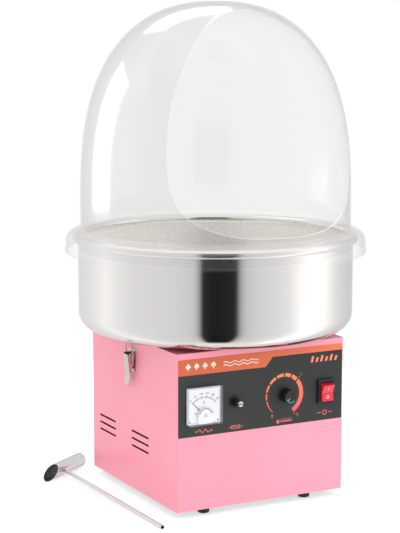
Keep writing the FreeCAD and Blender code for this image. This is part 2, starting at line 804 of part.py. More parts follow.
def flutes(count, radius, x, z, y0, y1):
    """Cutters for grip flutes round a knob."""
    cutters = []
    reach = radius + FLUTE_R * 0.2
    for i in range(count):
        angle = 2 * math.pi * i / count
        cutters.append(peg(FLUTE_R, x + reach * math.cos(angle), z + reach * math.sin(angle), y0, y1))
    return cutters


KNOB_BACK_Y = LABEL_FACE_Y - POT_BUSH_OUT - KNOB_GAP
KNOB_FACE_Y = KNOB_BACK_Y - KNOB_LENGTH


def temp_knob():
    """Fluted knob with a thin skirt, a pointer groove and a blind shaft bore."""
    body = peg(KNOB_R, KNOB_X, KNOB_Z, KNOB_FACE_Y, KNOB_BACK_Y)
    body = body.makeFillet(1.5, [e for e in body.Edges if e.BoundBox.YMax < KNOB_FACE_Y + 0.01])
    grip_y = KNOB_BACK_Y - KNOB_SKIRT_T - 1
    body = body.cut(flutes(KNOB_FLUTES, KNOB_R, KNOB_X, KNOB_Z, KNOB_FACE_Y + 2.5, grip_y))
    skirt = peg(KNOB_SKIRT_R, KNOB_X, KNOB_Z, KNOB_BACK_Y - KNOB_SKIRT_T, KNOB_BACK_Y)
    bore = peg(POT_SHAFT_R, KNOB_X, KNOB_Z, KNOB_BACK_Y - KNOB_BORE_DEPTH, KNOB_BACK_Y + 1)
    groove_x0, groove_x1 = KNOB_X - KNOB_GROOVE_HALF, KNOB_X + KNOB_GROOVE_HALF
    groove_end = KNOB_FACE_Y + KNOB_GROOVE_HALF
    groove = box(groove_x0, groove_x1, KNOB_FACE_Y - 1, groove_end, KNOB_Z + 3, KNOB_Z + KNOB_R + 1)
    groove = turned(groove, Vector(KNOB_X, 0, KNOB_Z), Y_AXIS, KNOB_GROOVE_DEG)
    return fuse([body, skirt]).cut([bore, groove])


def knob_shaft():
    """Shaft from the bottom of the knob's bore into the control's body."""
    y1 = FRONT_Y + SHEET + POT_BACK + 3
    return peg(POT_SHAFT_R, KNOB_X, KNOB_Z, KNOB_BACK_Y - KNOB_BORE_DEPTH, y1)


def potentiometer():
    """Round control body behind the panel, with its threaded bush through the panel."""
    y0 = FRONT_Y + SHEET + POT_BACK
    can = peg(POT_R, KNOB_X, KNOB_Z, y0, y0 + POT_DEPTH)
    tab_z0, tab_z1 = KNOB_Z - POT_R - TAB_LENGTH, KNOB_Z - POT_R + 2
    tabs = [box(KNOB_X + dx - 1, KNOB_X + dx + 1, y0 + 6, y0 + 7, tab_z0, tab_z1) for dx in POT_TABS]
    bush = peg(POT_BUSH_R, KNOB_X, KNOB_Z, LABEL_FACE_Y - POT_BUSH_OUT, y0)
    bore = peg(POT_SHAFT_R + RUNNING_CLEARANCE, KNOB_X, KNOB_Z, LABEL_FACE_Y - POT_BUSH_OUT - 1, y0 + 6)
    return fuse([can, bush, *tabs]).cut(bore)


def hex_nut(x, z, y0, thickness, across, bore_r):
    """Hexagon nut with its axis along Y."""
    radius = across / math.sqrt(3)
    points = []
    for i in range(6):
        angle = math.radians(60 * i)
        points.append(Vector(x + radius * math.cos(angle), y0, z + radius * math.sin(angle)))
    return prism(points, Vector(0, thickness, 0)).cut(peg(bore_r, x, z, y0 - 1, y0 + thickness + 1))


def panel_nuts():
    """Nuts inside the casing on the fuse holder, the control bush and the cable gland."""
    y0 = FRONT_Y + SHEET
    return [
        hex_nut(GLAND_X, GLAND_Z, HALF_D - SHEET - GLAND_FLANGE_T, GLAND_FLANGE_T, GLAND_ACROSS, GLAND_R),
        hex_nut(FUSE_X, FUSE_Z, y0, FUSE_NUT_T, FUSE_NUT_ACROSS, FUSE_BARREL_R),
        hex_nut(KNOB_X, KNOB_Z, y0, POT_NUT_T, POT_NUT_ACROSS, POT_BUSH_R),
    ]


ROCKER_PIVOT_Y = LABEL_FACE_Y + ROCKER_PIVOT_IN


def switch_frame():
    """Snap-in switch body with a raised bezel round the rocker's well."""
    bezel = switch_block(SWITCH_W / 2, SWITCH_H / 2, LABEL_FACE_Y - SWITCH_OUT, LABEL_FACE_Y)
    bezel = bezel.makeFillet(1.5, [e for e in bezel.Edges if e.BoundBox.YMin < LABEL_FACE_Y - 1])
    half_w = SWITCH_W / 2 - SWITCH_RIM
    half_h = SWITCH_H / 2 - SWITCH_RIM
    body_end = LABEL_FACE_Y + SWITCH_BODY_DEPTH
    body = switch_block(half_w + SWITCH_WALL, half_h + SWITCH_WALL, LABEL_FACE_Y, body_end)
    tabs = []
    for dz in SWITCH_TABS:
        z0, z1 = SWITCH_Z + dz - TAB_HALF_T, SWITCH_Z + dz + TAB_HALF_T
        tabs.append(box(SWITCH_X - 3, SWITCH_X + 3, body_end, body_end + TAB_LENGTH, z0, z1))
    well_end = LABEL_FACE_Y + SWITCH_WELL_DEPTH
    well = switch_block(half_w, half_h, LABEL_FACE_Y - SWITCH_OUT - 1, well_end)
    return fuse([bezel, body, *tabs]).cut(well)


def switch_block(half_w, half_h, y0, y1):
    """Block centred on the switch."""
    return box(SWITCH_X - half_w, SWITCH_X + half_w, y0, y1, SWITCH_Z - half_h, SWITCH_Z + half_h)


def switch_rocker():
    """Rocker with two sloping faces, its lower end pressed in."""
    x0 = SWITCH_X - ROCKER_W / 2
    y, z, half = ROCKER_PIVOT_Y, SWITCH_Z, ROCKER_HALF_H
    points = [
        Vector(x0, y + ROCKER_BACK, z - half / 2),
        Vector(x0, y, z - half),
        Vector(x0, y - ROCKER_CREST, z - half),
        Vector(x0, y - ROCKER_DIP, z),
        Vector(x0, y - ROCKER_CREST, z + half),
        Vector(x0, y, z + half),
        Vector(x0, y + ROCKER_BACK, z + half / 2),
    ]
    body = prism(points, Vector(ROCKER_W, 0, 0))
    body = body.makeFillet(0.8, [e for e in body.Edges if e.BoundBox.YMin < y - ROCKER_CREST + 0.01])
    pivots = rod(ROCKER_PIVOT_R, Vector(x0 - 0.4, y, z), Vector(x0 + ROCKER_W + 0.4, y, z))
    return turned(fuse([body, pivots]), Vector(SWITCH_X, y, z), X_AXIS, ROCKER_TILT)


# ---------------------------------------------------------------- bowl and cover


def bowl():
    """Spun bowl: collar round the centre, flat floor, rounded corner, wall and rolled rim."""
    out, inside = BOWL_R, BOWL_R - BOWL_T
    floor0, floor1 = BOWL_Z0, BOWL_Z0 + BOWL_T
    corner = BOWL_CORNER_R
    bead_z = RIM_Z - BEAD_R
    centre = (BEAD_CENTRE_R, bead_z)
    in_bead = BEAD_R - BOWL_T
    edges = [
        line((COLLAR_R, BOWL_Z0 + COLLAR_H), (COLLAR_R, floor0 + COLLAR_BEND)),
        arc((COLLAR_R + COLLAR_BEND, floor0 + COLLAR_BEND), COLLAR_BEND, 180, 270),
        line((COLLAR_R + COLLAR_BEND, floor0), (out - corner, floor0)),
        arc((out - corner, floor0 + corner), corner, -90, 0),
    ]
    wall_deg = math.degrees(math.acos((BEAD_CENTRE_R - out) / BEAD_R))
    join_deg = 180 + wall_deg
    inner_deg = math.degrees(math.acos((BEAD_CENTRE_R - inside) / BEAD_R))
    bead_low = bead_z - BEAD_R * math.sin(math.radians(wall_deg))
    inner_low = bead_z - BEAD_R * math.sin(math.radians(inner_deg))
    edges += [
        line((out, floor0 + corner), (out, bead_low)),
        arc(centre, BEAD_R, join_deg, 180 + inner_deg + 360),
        line((inside, inner_low), (inside, floor0 + corner)),
        arc((out - corner, floor0 + corner), corner - BOWL_T, 0, -90),
        line((out - corner, floor1), (COLLAR_R + COLLAR_BEND, floor1)),
        arc((COLLAR_R + COLLAR_BEND, floor0 + COLLAR_BEND), COLLAR_BEND - BOWL_T, 270, 180),
        line((COLLAR_R + BOWL_T, floor0 + COLLAR_BEND), (COLLAR_R + BOWL_T, BOWL_Z0 + COLLAR_H)),
        line((COLLAR_R + BOWL_T, BOWL_Z0 + COLLAR_H), (COLLAR_R, BOWL_Z0 + COLLAR_H)),
    ]
    roll_hollow = Part.makeTorus(BEAD_CENTRE_R, in_bead, Vector(0, 0, bead_z), Z_AXIS)
    return lathe(edges).cut(roll_hollow)


def dome_points(radius, top, count=14):
    """Points up the dome's side, from the top of its straight wall to the crown."""
    points = []
    rise = top - COVER_SHOULDER_Z
    for i in range(count + 1):
        share = math.sin(math.pi / 2 * i / count)
        spread = max(0.0, 1 - share**COVER_RISE_POWER) ** (1 / COVER_SPREAD_POWER)
        points.append((radius * spread, COVER_SHOULDER_Z + rise * share))
    return points


def window_outline():
    """Closed outline of the access opening as seen from the front: an arch over a rounded sill."""
    points = []
    steps = 40
    for i in range(steps):
        angle = 2 * math.pi * i / steps
        upper = math.sin(angle) >= 0
        power = WINDOW_TOP_POWER if upper else WINDOW_BOTTOM_POWER
        height = WINDOW_UP if upper else WINDOW_DOWN
        c, s = math.cos(angle), math.sin(angle)
        x = WINDOW_HALF_W * math.copysign(abs(c) ** (2 / power), c)
        z = WINDOW_Z + height * math.copysign(abs(s) ** (2 / power), s)
        points.append(Vector(x, 0, z))
    curve = Part.BSplineCurve()
    curve.interpolate(points, PeriodicFlag=True)
    return Part.Wire(curve.toShape())


def dome_cover():
    """Clear cover: dome, rounded shoulder, flange on the bowl's rim and skirt round it."""
    inner_r = COVER_R - COVER_T
    flange_top = FLANGE_Z + COVER_T
    round_out = FLANGE_ROUND_R
    round_in = FLANGE_ROUND_R - COVER_T
    corner = (SKIRT_R - round_out, flange_top - round_out)
    fillet = 6.0
    skirt_in = SKIRT_R - COVER_T
    edges = [
        spline(dome_points(COVER_R, COVER_TOP_Z)),
        line((COVER_R, COVER_SHOULDER_Z), (COVER_R, flange_top + fillet)),
        arc((COVER_R + fillet, flange_top + fillet), fillet, 180, 270),
        line((COVER_R + fillet, flange_top), (corner[0], flange_top)),
        arc(corner, round_out, 90, 0),
        line((SKIRT_R, corner[1]), (SKIRT_R, SKIRT_Z0 + SKIRT_LIP_H)),
        line((SKIRT_R, SKIRT_Z0 + SKIRT_LIP_H), (SKIRT_LIP_R, SKIRT_Z0 + SKIRT_LIP_H - 1)),
        line((SKIRT_LIP_R, SKIRT_Z0 + SKIRT_LIP_H - 1), (SKIRT_LIP_R, SKIRT_Z0)),
        line((SKIRT_LIP_R, SKIRT_Z0), (skirt_in, SKIRT_Z0)),
        line((skirt_in, SKIRT_Z0), (skirt_in, corner[1])),
        arc(corner, round_in, 0, 90),
        line((corner[0], FLANGE_Z), (inner_r, FLANGE_Z)),
        line((inner_r, FLANGE_Z), (inner_r, COVER_SHOULDER_Z)),
        spline(dome_points(inner_r, COVER_TOP_Z - COVER_T)),
        line((0, COVER_TOP_Z - COVER_T), (0, COVER_TOP_Z)),
    ]
    window = Part.Face(window_outline()).extrude(Vector(0, -SKIRT_LIP_R, 0))
    return lathe(edges).cut(window)


# ---------------------------------------------------------------- head and drive


def head_base():
    """Floor of the spinning head, with its hub."""
    plate = disc(HEAD_BASE_R, HEAD_Z, HEAD_Z + HEAD_BASE_T)
    rim = ring(BAND_R, HEAD_BASE_R - HEAD_RIM_STEP, HEAD_Z - 2, HEAD_Z + HEAD_BASE_T)
    hub = disc(HUB_R, HEAD_Z - HUB_H, HEAD_Z)
    bore = disc(SHAFT_R, HEAD_Z - HUB_H - 1, HEAD_Z)
    return fuse([plate, rim, hub]).cut([bore, *stud_holes(HEAD_Z - 3, HEAD_Z + HEAD_BASE_T + 1)])


def stud_places():
    places = []
    for i in range(STUD_COUNT):
        angle = 2 * math.pi * (i + 0.5) / STUD_COUNT
        places.append((STUD_RING_R * math.cos(angle), STUD_RING_R * math.sin(angle)))
    return places


def stud_holes(z0, z1):
    return [disc(STUD_R, z0, z1, x, y) for x, y in stud_places()]


BAND_Z0 = HEAD_Z + HEAD_BASE_T
BAND_Z1 = BAND_Z0 + BAND_H
CAP_Z1 = BAND_Z1 + CAP_T


def head_band():
    """Slotted band that the sugar is thrown through."""
    band = ring(BAND_R, BAND_R - BAND_T, BAND_Z0, BAND_Z1)
    slots = []
    for i in range(BAND_SLOTS):
        slot = box(BAND_R - BAND_T - 1, BAND_R + 1, -BAND_SLOT_W / 2, BAND_SLOT_W / 2,
                   BAND_Z0 + BAND_SLOT_MARGIN, BAND_Z1 - BAND_SLOT_MARGIN)
        slots.append(turned(slot, Vector(0, 0, 0), Z_AXIS, 360.0 * i / BAND_SLOTS))
    return band.cut(slots)


def head_cap():
    """Top of the head, with the lipped sugar opening."""
    plate = disc(CAP_R, BAND_Z1, CAP_Z1)
    plate = plate.makeFillet(1.5, [e for e in plate.Edges if e.BoundBox.ZMin > CAP_Z1 - 0.01])
    lip = disc(SUGAR_HOLE_R + 3, CAP_Z1 - 1, CAP_Z1 + SUGAR_LIP_H)
    hole = disc(SUGAR_HOLE_R, BAND_Z1 - 1, CAP_Z1 + SUGAR_LIP_H + 1)
    return fuse([plate, lip]).cut([hole, *stud_holes(BAND_Z1 - 1, CAP_Z1 + 1)])


def head_stud(x, y):
    """Long screw that clamps the cap, band and base together."""
    shank = disc(STUD_R, HEAD_Z, CAP_Z1, x, y)
    head = disc(STUD_HEAD_R, CAP_Z1, CAP_Z1 + STUD_HEAD_H, x, y)
    recess = disc(STUD_RECESS_R, CAP_Z1 + 1, CAP_Z1 + STUD_HEAD_H + 1, x, y)
    return fuse([shank, head]).cut(recess)


def heater_ring():
    """Sheathed heating element bent to a ring on two posts."""
    element = Part.makeTorus(HEATER_R, HEATER_TUBE_R, Vector(0, 0, HEATER_Z), Z_AXIS)
    posts = [disc(HEATER_POST_R, BAND_Z0, HEATER_Z, x) for x in (-HEATER_R, HEATER_R)]
    return fuse([element, *posts])


def drive_shaft():
    """Shaft from the coupling up into the head's hub."""
    return disc(SHAFT_R, SHAFT_JOINT_Z, HEAD_Z)


def shaft_coupling():
    """Sleeve over the joint between the motor's shaft and the drive shaft, with two screw holes."""
    half = COUPLING_H / 2
    sleeve = ring(COUPLING_R, SHAFT_R, SHAFT_JOINT_Z - half, SHAFT_JOINT_Z + half)
    screws = []
    for z in (SHAFT_JOINT_Z - half / 2, SHAFT_JOINT_Z + half / 2):
        screws.append(rod(2.0, Vector(COUPLING_R - 2, 0, z), Vector(COUPLING_R + 1, 0, z)))
    return sleeve.cut(screws)


def slip_ring_hub():
    return ring(RING_HUB_R, SHAFT_R, RING_HUB_Z, RING_HUB_Z + RING_HUB_H)


def slip_rings():
    return [ring(RING_R, RING_HUB_R, z, z + RING_H) for z in RING_Z]


def motor_armature():
    """Wound core and commutator on the motor shaft, which runs from the fan up to the coupling."""
    core_z0 = CORE_Z + STATOR_OVERHANG
    core_z1 = core_z0 + ARMATURE_H
    core = disc(ARMATURE_R, core_z0, core_z1)
    commutator = disc(COMMUTATOR_R, core_z1, core_z1 + COMMUTATOR_H)
    return fuse([disc(SHAFT_R, MOTOR_SHAFT_Z0, SHAFT_JOINT_Z), core, commutator])


def cooling_fan():
    """Fan under the motor: hub and pitched blades."""
    hub = ring(FAN_HUB_R, SHAFT_R, FAN_Z, FAN_Z + FAN_H)
    blades = []
    middle = Vector(0, 0, FAN_Z + FAN_H / 2)
    half_w, half_t = FAN_BLADE_HALF_W, FAN_BLADE_HALF_T
    for i in range(FAN_BLADES):
        blade = box(FAN_HUB_R - 1.5, FAN_R, -half_w, half_w, middle.z - half_t, middle.z + half_t)
        blade = turned(blade, middle, X_AXIS, FAN_PITCH_DEG)
        blades.append(turned(blade, middle, Z_AXIS, 360.0 * i / FAN_BLADES))
    return fuse([hub, *blades])


MOTOR_Z1 = PLATE_Z
MOTOR_Z0 = MOTOR_Z1 - MOTOR_H


def motor_housing():
    """Round motor body with cooling slots in its lower end."""
    outer = disc(MOTOR_R, MOTOR_Z0, MOTOR_Z1)
    room = disc(MOTOR_R - MOTOR_WALL, MOTOR_Z0 + MOTOR_WALL, MOTOR_Z1 - MOTOR_WALL)
    bore = disc(SHAFT_R + RUNNING_CLEARANCE, MOTOR_Z0 - 1, MOTOR_Z1 + 1)
    slots = []
    half = MOTOR_SLOT_HALF
    for i in range(MOTOR_SLOTS):
        slot = box(MOTOR_SLOT_IN, MOTOR_SLOT_OUT, -half, half, MOTOR_Z0 - 1, MOTOR_Z0 + MOTOR_WALL + 1)
        slots.append(turned(slot, Vector(0, 0, 0), Z_AXIS, 360.0 * i / MOTOR_SLOTS))
    return outer.cut([room, bore, *slots])


def motor_stator():
    """Slotted iron ring round the armature."""
    z1 = CORE_Z + ARMATURE_H + 2 * STATOR_OVERHANG
    stack = ring(MOTOR_R - MOTOR_WALL, STATOR_IN_R, CORE_Z, z1)
    slots = []
    x1, half = STATOR_IN_R + STATOR_SLOT_DEPTH, STATOR_SLOT_HALF
    for i in range(STATOR_SLOTS):
        slot = box(STATOR_IN_R - 1, x1, -half, half, CORE_Z - 1, z1 + 1)
        slots.append(turned(slot, Vector(0, 0, 0), Z_AXIS, 360.0 * i / STATOR_SLOTS))
    return stack.cut(slots)


def motor_bracket():
    """Square plate that the motor hangs from."""
    plate = box(-PLATE_HALF, PLATE_HALF, -PLATE_HALF, PLATE_HALF, PLATE_Z, PLATE_Z + PLATE_T)
    plate = plate.makeFillet(PLATE_CORNER_R, [e for e in plate.Edges if e.BoundBox.ZLength > 1])
    z0, z1 = PLATE_Z - 1, PLATE_Z + PLATE_T + 1
    cutters = [disc(PLATE_BORE_R, z0, z1)]
    cutters += [disc(SCREW_R, z0, z1, x, y) for x, y in square_corners(POST_XY)]
    return drill(plate, cutters)


def hanger_post(x, y):
    """Steel post between the lid and a rubber mount."""
    return disc(POST_R, PLATE_Z + PLATE_T + MOUNT_H, TOP_UNDER, x, y)


def rubber_mount(x, y):
    """Waisted rubber block between the motor bracket and a post."""
    body = disc(MOUNT_R, PLATE_Z + PLATE_T, PLATE_Z + PLATE_T + MOUNT_H, x, y)
    waist = Part.makeTorus(MOUNT_R + 1, 2.5, Vector(x, y, PLATE_Z + PLATE_T + MOUNT_H / 2), Z_AXIS)
    return body.cut(waist)


def bearing_housing():
    """Flanged housing for two bearings, bolted under the lid."""
    boss = disc(HOUSING_R, HOUSING_Z0, HOUSING_Z1)
    flange = disc(HOUSING_FLANGE_R, TOP_UNDER - HOUSING_FLANGE_T, TOP_UNDER)
    low_seat = disc(BEARING_R, HOUSING_Z0 - 1, BEARING_Z[0] + BEARING_H)
    high_seat = disc(BEARING_R, BEARING_Z[1], HOUSING_Z1 + 1)
    bore = disc(HOUSING_BORE_R, HOUSING_Z0 - 1, HOUSING_Z1 + 1)
    return fuse([boss, flange]).cut([low_seat, high_seat, bore])


def shaft_bearing(z):
    """Shielded ball bearing with a groove between its races."""
    body = ring(BEARING_R, SHAFT_R + RUNNING_CLEARANCE, z, z + BEARING_H)
    grooves = [ring(SHIELD_OUT_R, SHIELD_IN_R, end - SHIELD_DEPTH, end + SHIELD_DEPTH)
               for end in (z, z + BEARING_H)]
    return body.cut(grooves)


def bowl_seal():
    """Rubber ring that carries the bowl on the lid."""
    return ring(SEAL_OUT_R, SEAL_IN_R, TOP_Z, BOWL_Z0)


def brush_channels():
    """Cutters for the two brush channels."""
    half = BRUSH_HALF + BRUSH_PLAY
    x0, x1 = BRUSH_BOX_X0 - 1, BRUSH_BOX_X1 - BRUSH_WALL
    middles = [z + RING_H / 2 for z in RING_Z]
    return [box(x0, x1, -half, half, middle - half, middle + half) for middle in middles]


def brush_holder():
    """Insulating block with a foot on the motor bracket."""
    top = RING_HUB_Z + RING_HUB_H
    half = BRUSH_BOX_HALF
    x1, z0 = BRUSH_BOX_X1, PLATE_Z + PLATE_T
    block = box(BRUSH_BOX_X0, x1, -half, half, RING_HUB_Z, top)
    leg = box(x1 - BRUSH_LEG, x1, -half, half, z0, RING_HUB_Z)
    base = box(x1 - BRUSH_FOOT, x1, -half, half, z0, z0 + BRUSH_FOOT_H)
    return fuse([block, leg, base]).cut(brush_channels())


BRUSH_X0 = RING_R + BRUSH_GAP


def carbon_brush(z):
    middle, half = z + RING_H / 2, BRUSH_HALF
    return box(BRUSH_X0, BRUSH_X0 + BRUSH_LENGTH, -half, half, middle - half, middle + half)


def brush_spring(z):
    """Helical spring between a brush and the end of its channel."""
    end_gap = SPRING_WIRE_R + 0.1
    start = BRUSH_X0 + BRUSH_LENGTH + end_gap
    length = BRUSH_BOX_X1 - BRUSH_WALL - end_gap - start
    helix = Part.makeHelix(SPRING_PITCH, length, SPRING_R)
    section = Part.Wire(Part.makeCircle(SPRING_WIRE_R, Vector(SPRING_R, 0, 0), Y_AXIS))
    coil = Part.Wire(helix.Edges).makePipeShell([section], True, True)
    coil.rotate(Vector(0, 0, 0), Y_AXIS, 90)
    coil.translate(Vector(start, 0, z + RING_H / 2))
    return coil


# ---------------------------------------------------------------- latches


def latch_base():
    """Riveted plate with two ears for the lever's pin."""
    outer = -HALF_W - EAR_T
    half = LATCH_PLATE_HALF_W
    plate = box(outer, -HALF_W, -half, half, LATCH_PLATE_Z0, LATCH_PLATE_Z1)
    plate = plate.makeFillet(3, [e for e in plate.Edges if e.BoundBox.XLength > 1])
    ears = []
    for side in (-1, 1):
        y0 = EAR_Y if side > 0 else -EAR_Y - EAR_T
        nose = Part.makeCylinder(EAR_NOSE_R, EAR_T, Vector(PIVOT_X, y0, PIVOT_Z), Y_AXIS)
        web = box(PIVOT_X, -HALF_W, y0, y0 + EAR_T, PIVOT_Z - EAR_NOSE_R, PIVOT_Z + EAR_NOSE_R)
        ears.append(fuse([nose, web]))
    holes = [peg(PIN_R, PIVOT_X, PIVOT_Z, -2 * EAR_Y, 2 * EAR_Y)]
    for z in rivet_heights():
        holes.append(Part.makeCylinder(RIVET_R, 3 * EAR_T, Vector(outer - EAR_T, 0, z), X_AXIS))
    return fuse([plate, *ears]).cut(holes)


def rivet_heights():
    return (LATCH_PLATE_Z0 + 8, LATCH_PLATE_Z1 - 5)


def latch_pin():
    """Lever pin with a head at each end."""
    reach = EAR_Y + EAR_T
    shank = peg(PIN_R, PIVOT_X, PIVOT_Z, -reach, reach)
    step = PIN_HEAD_STEP
    heads = [peg(PIN_R + step, PIVOT_X, PIVOT_Z, y, y + step) for y in (-reach - step, reach)]
    return fuse([shank, *heads])


def latch_rivet(z):
    head = Part.makeCylinder(RIVET_HEAD_R, RIVET_HEAD_H, Vector(-HALF_W - EAR_T, 0, z), -X_AXIS)
    shank = Part.makeCylinder(RIVET_R - 0.05, SHEET + EAR_T + 1, Vector(-HALF_W - EAR_T, 0, z), X_AXIS)
    return fuse([head, shank])


def latch_lever():
    """Pressed lever: sloping face plate with a lip, and two cheeks on the pin and the bail."""
    half = LEVER_HALF_W
    x = LEVER_FACE_X
    tail_z = BAIL_Z - CHEEK_TAIL
    slope = (LEVER_TIP_X - x) / (LEVER_TOP_Z - LEVER_TIP_Z)
    tail_x = x + slope * (LEVER_TOP_Z - tail_z)
    profile = [
        Vector(x, -half, LEVER_TOP_Z),
        Vector(LEVER_TIP_X, -half, LEVER_TIP_Z),
        Vector(LEVER_LIP_X, -half, LEVER_LIP_Z),
        Vector(LEVER_LIP_X + 0.9, -half, LEVER_LIP_Z - 0.8),
        Vector(LEVER_TIP_X + LEVER_T, -half, LEVER_TIP_Z - 0.6),
        Vector(x + LEVER_T, -half, LEVER_TOP_Z),
    ]
    face = prism(profile, Vector(0, 2 * half, 0))
    shapes = [face]
    for y0 in (-half, half - LEVER_T):
        cheek = [
            Vector(x + LEVER_T / 2, y0, LEVER_TOP_Z),
            Vector(PIVOT_X + CHEEK_PAD, y0, LEVER_TOP_Z - 1),
            Vector(PIVOT_X + CHEEK_PAD, y0, PIVOT_Z - 3),
            Vector(BAIL_X + CHEEK_BAIL_PAD, y0, BAIL_Z + 1),
            Vector(BAIL_X + CHEEK_BAIL_PAD, y0, BAIL_Z - 3),
            Vector(tail_x + LEVER_T / 2, y0, tail_z),
        ]
        shapes.append(prism(cheek, Vector(0, LEVER_T, 0)))
    pin_hole = peg(PIN_R + RUNNING_CLEARANCE, PIVOT_X, PIVOT_Z, -2 * half, 2 * half)
    bail_hole = peg(BAIL_R + RUNNING_CLEARANCE, BAIL_X, BAIL_Z, -2 * half, 2 * half)
    return fuse(shapes).cut([pin_hole, bail_hole])


def bail_top_z():
    """Height of the bail's bar, from the length of its arms."""
    run = abs(BAIL_TOP_X - BAIL_X)
    return BAIL_Z + math.sqrt(BAIL_LENGTH**2 - run**2)


def latch_bail():
    """Wire loop: its ends turn into the lever's cheeks and its bar sits over the catch."""
    half = BAIL_HALF_W
    end = LEVER_HALF_W - LEVER_T
    top = bail_top_z()
    points = [
        Vector(BAIL_X, -end, BAIL_Z),
        Vector(BAIL_X, -half, BAIL_Z),
        Vector(BAIL_TOP_X, -half, top),
        Vector(BAIL_TOP_X, half, top),
        Vector(BAIL_X, half, BAIL_Z),
        Vector(BAIL_X, end, BAIL_Z),
    ]
    return bent_rod(points, BAIL_R, BAIL_BEND_R)


def bowl_catch():
    """Bent strip under the bowl, whose ledge the bail's bar pulls down."""
    half = CATCH_HALF_W
    ledge_top = bail_top_z() - BAIL_R - BAR_GAP
    flange = box(CATCH_INNER_X, CATCH_LEG_X, -half, half, BOWL_Z0 - CATCH_T, BOWL_Z0)
    leg = box(CATCH_LEG_X - CATCH_T, CATCH_LEG_X, -half, half, ledge_top - CATCH_T, BOWL_Z0)
    ledge = box(CATCH_END_X, CATCH_LEG_X - CATCH_T, -half, half, ledge_top - CATCH_T, ledge_top)
    return fuse([flange, leg, ledge])


# ---------------------------------------------------------------- scoop


def cup_direction():
    angle = math.radians(CUP_ANGLE_DEG)
    return Vector(math.cos(angle), math.sin(angle), 0)


def scoop_cup():
    """Tube cup lying on the floor, closed at its far end and cut slantwise at its mouth."""
    along = cup_direction()
    across = Vector(-along.y, along.x, 0)
    start = Vector(CUP_TIP_X, CUP_TIP_Y, CUP_R)
    outer = Part.makeCylinder(CUP_R, CUP_LENGTH, start, along)
    inner = Part.makeCylinder(CUP_R - CUP_T, CUP_LENGTH - CUP_T, start, along)
    side = across * (2 * CUP_R)
    low = start - Z_AXIS * CUP_R
    wedge = [
        low - side,
        low - side + along * CUP_CUT_LENGTH + Z_AXIS * (2 * CUP_R),
        low - side + along * CUP_CUT_LENGTH + Z_AXIS * (3 * CUP_R),
        low - side - along * CUP_R + Z_AXIS * (3 * CUP_R),
        low - side - along * CUP_R,
    ]
    return outer.cut(inner).cut(prism(wedge, side * 2))


def scoop_handle():
    """Hollow rod welded to the cup's flank, its far end resting on the floor."""
    start = Vector(HANDLE_START[0], HANDLE_START[1], CUP_R)
    end = Vector(HANDLE_END[0], HANDLE_END[1], HANDLE_R)
    tube = rod(HANDLE_R, start, end).cut(rod(HANDLE_BORE_R, start, end))
    cup_start = Vector(CUP_TIP_X, CUP_TIP_Y, CUP_R) - cup_direction() * CUP_R
    cup = Part.makeCylinder(CUP_R, CUP_LENGTH + 2 * CUP_R, cup_start, cup_direction())
    return tube.cut(cup)


# ---------------------------------------------------------------- electrical


def board_block(spec):
    """Block on the board: two distances along it, two across it and a height."""
    along0, along1, across0, across1, height = spec
    x, y, top = BOARD_X[0], BOARD_Y[0], BOARD_Z + BOARD_T
    return box(x + along0, x + along1, y + across0, y + across1, top, top + height)


def board_can(spec):
    """Upright can on the board: a distance along it, one across it, a radius and a height."""
    along, across, radius, height = spec
    top = BOARD_Z + BOARD_T
    return disc(radius, top, top + height, BOARD_X[0] + along, BOARD_Y[0] + across)


def board_corners():
    inset = BOARD_HOLE_INSET
    xs = (BOARD_X[0] + inset, BOARD_X[1] - inset)
    ys = (BOARD_Y[0] + inset, BOARD_Y[1] - inset)
    return [(x, y) for x in xs for y in ys]


def control_board():
    """Heat control board on four tubular standoffs, with its larger components."""
    top = BOARD_Z + BOARD_T
    shapes = [box(*BOARD_X, *BOARD_Y, BOARD_Z, top)]
    shapes += [board_block(spec) for spec in (RELAY, COIL, CONNECTOR)]
    shapes += [board_can(spec) for spec in (BIG_CAPACITOR, SMALL_CAPACITOR)]
    shapes += [disc(STANDOFF_R, FLOOR_TOP, BOARD_Z, x, y) for x, y in board_corners()]
    holes = [disc(BOARD_HOLE_R, FLOOR_TOP - 1, top + 1, x, y) for x, y in board_corners()]
    return fuse(shapes).cut(holes)


def heatsink():
    """Finned block on the control board."""
    x0, x1 = BOARD_X[0] + SINK_X[0], BOARD_X[0] + SINK_X[1]
    y0, y1 = BOARD_Y[0] + SINK_Y[0], BOARD_Y[0] + SINK_Y[1]
    top = BOARD_Z + BOARD_T
    shapes = [box(x0, x1, y0, y1, top, top + SINK_BASE_T)]
    step = (x1 - x0 - SINK_FIN_T) / (SINK_FINS - 1)
    for i in range(SINK_FINS):
        fin_x = x0 + i * step
        shapes.append(box(fin_x, fin_x + SINK_FIN_T, y0, y1, top, top + SINK_H))
    return fuse(shapes)


def terminal_places():
    step = (TERMINAL_X[1] - TERMINAL_X[0]) / TERMINALS
    return [TERMINAL_X[0] + (i + 0.5) * step for i in range(TERMINALS)]


def terminal_block():
    """Screw terminals for the mains wires."""
    y0, y1 = TERMINAL_Y
    top = FLOOR_TOP + TERMINAL_H
    wire_z, depth = FLOOR_TOP + TERMINAL_WIRE_Z, TERMINAL_HOLE_DEPTH
    body = box(*TERMINAL_X, y0, y1, FLOOR_TOP, top)
    cutters = []
    for x in terminal_places():
        cutters.append(disc(TERMINAL_SCREW_R, top - depth, top + 1, x, (y0 + y1) / 2))
        cutters.append(peg(TERMINAL_HOLE_R, x, wire_z, y0 - 1, y0 + depth))
        cutters.append(peg(TERMINAL_HOLE_R, x, wire_z, y1 - depth, y1 + 1))
    return body.cut(cutters)


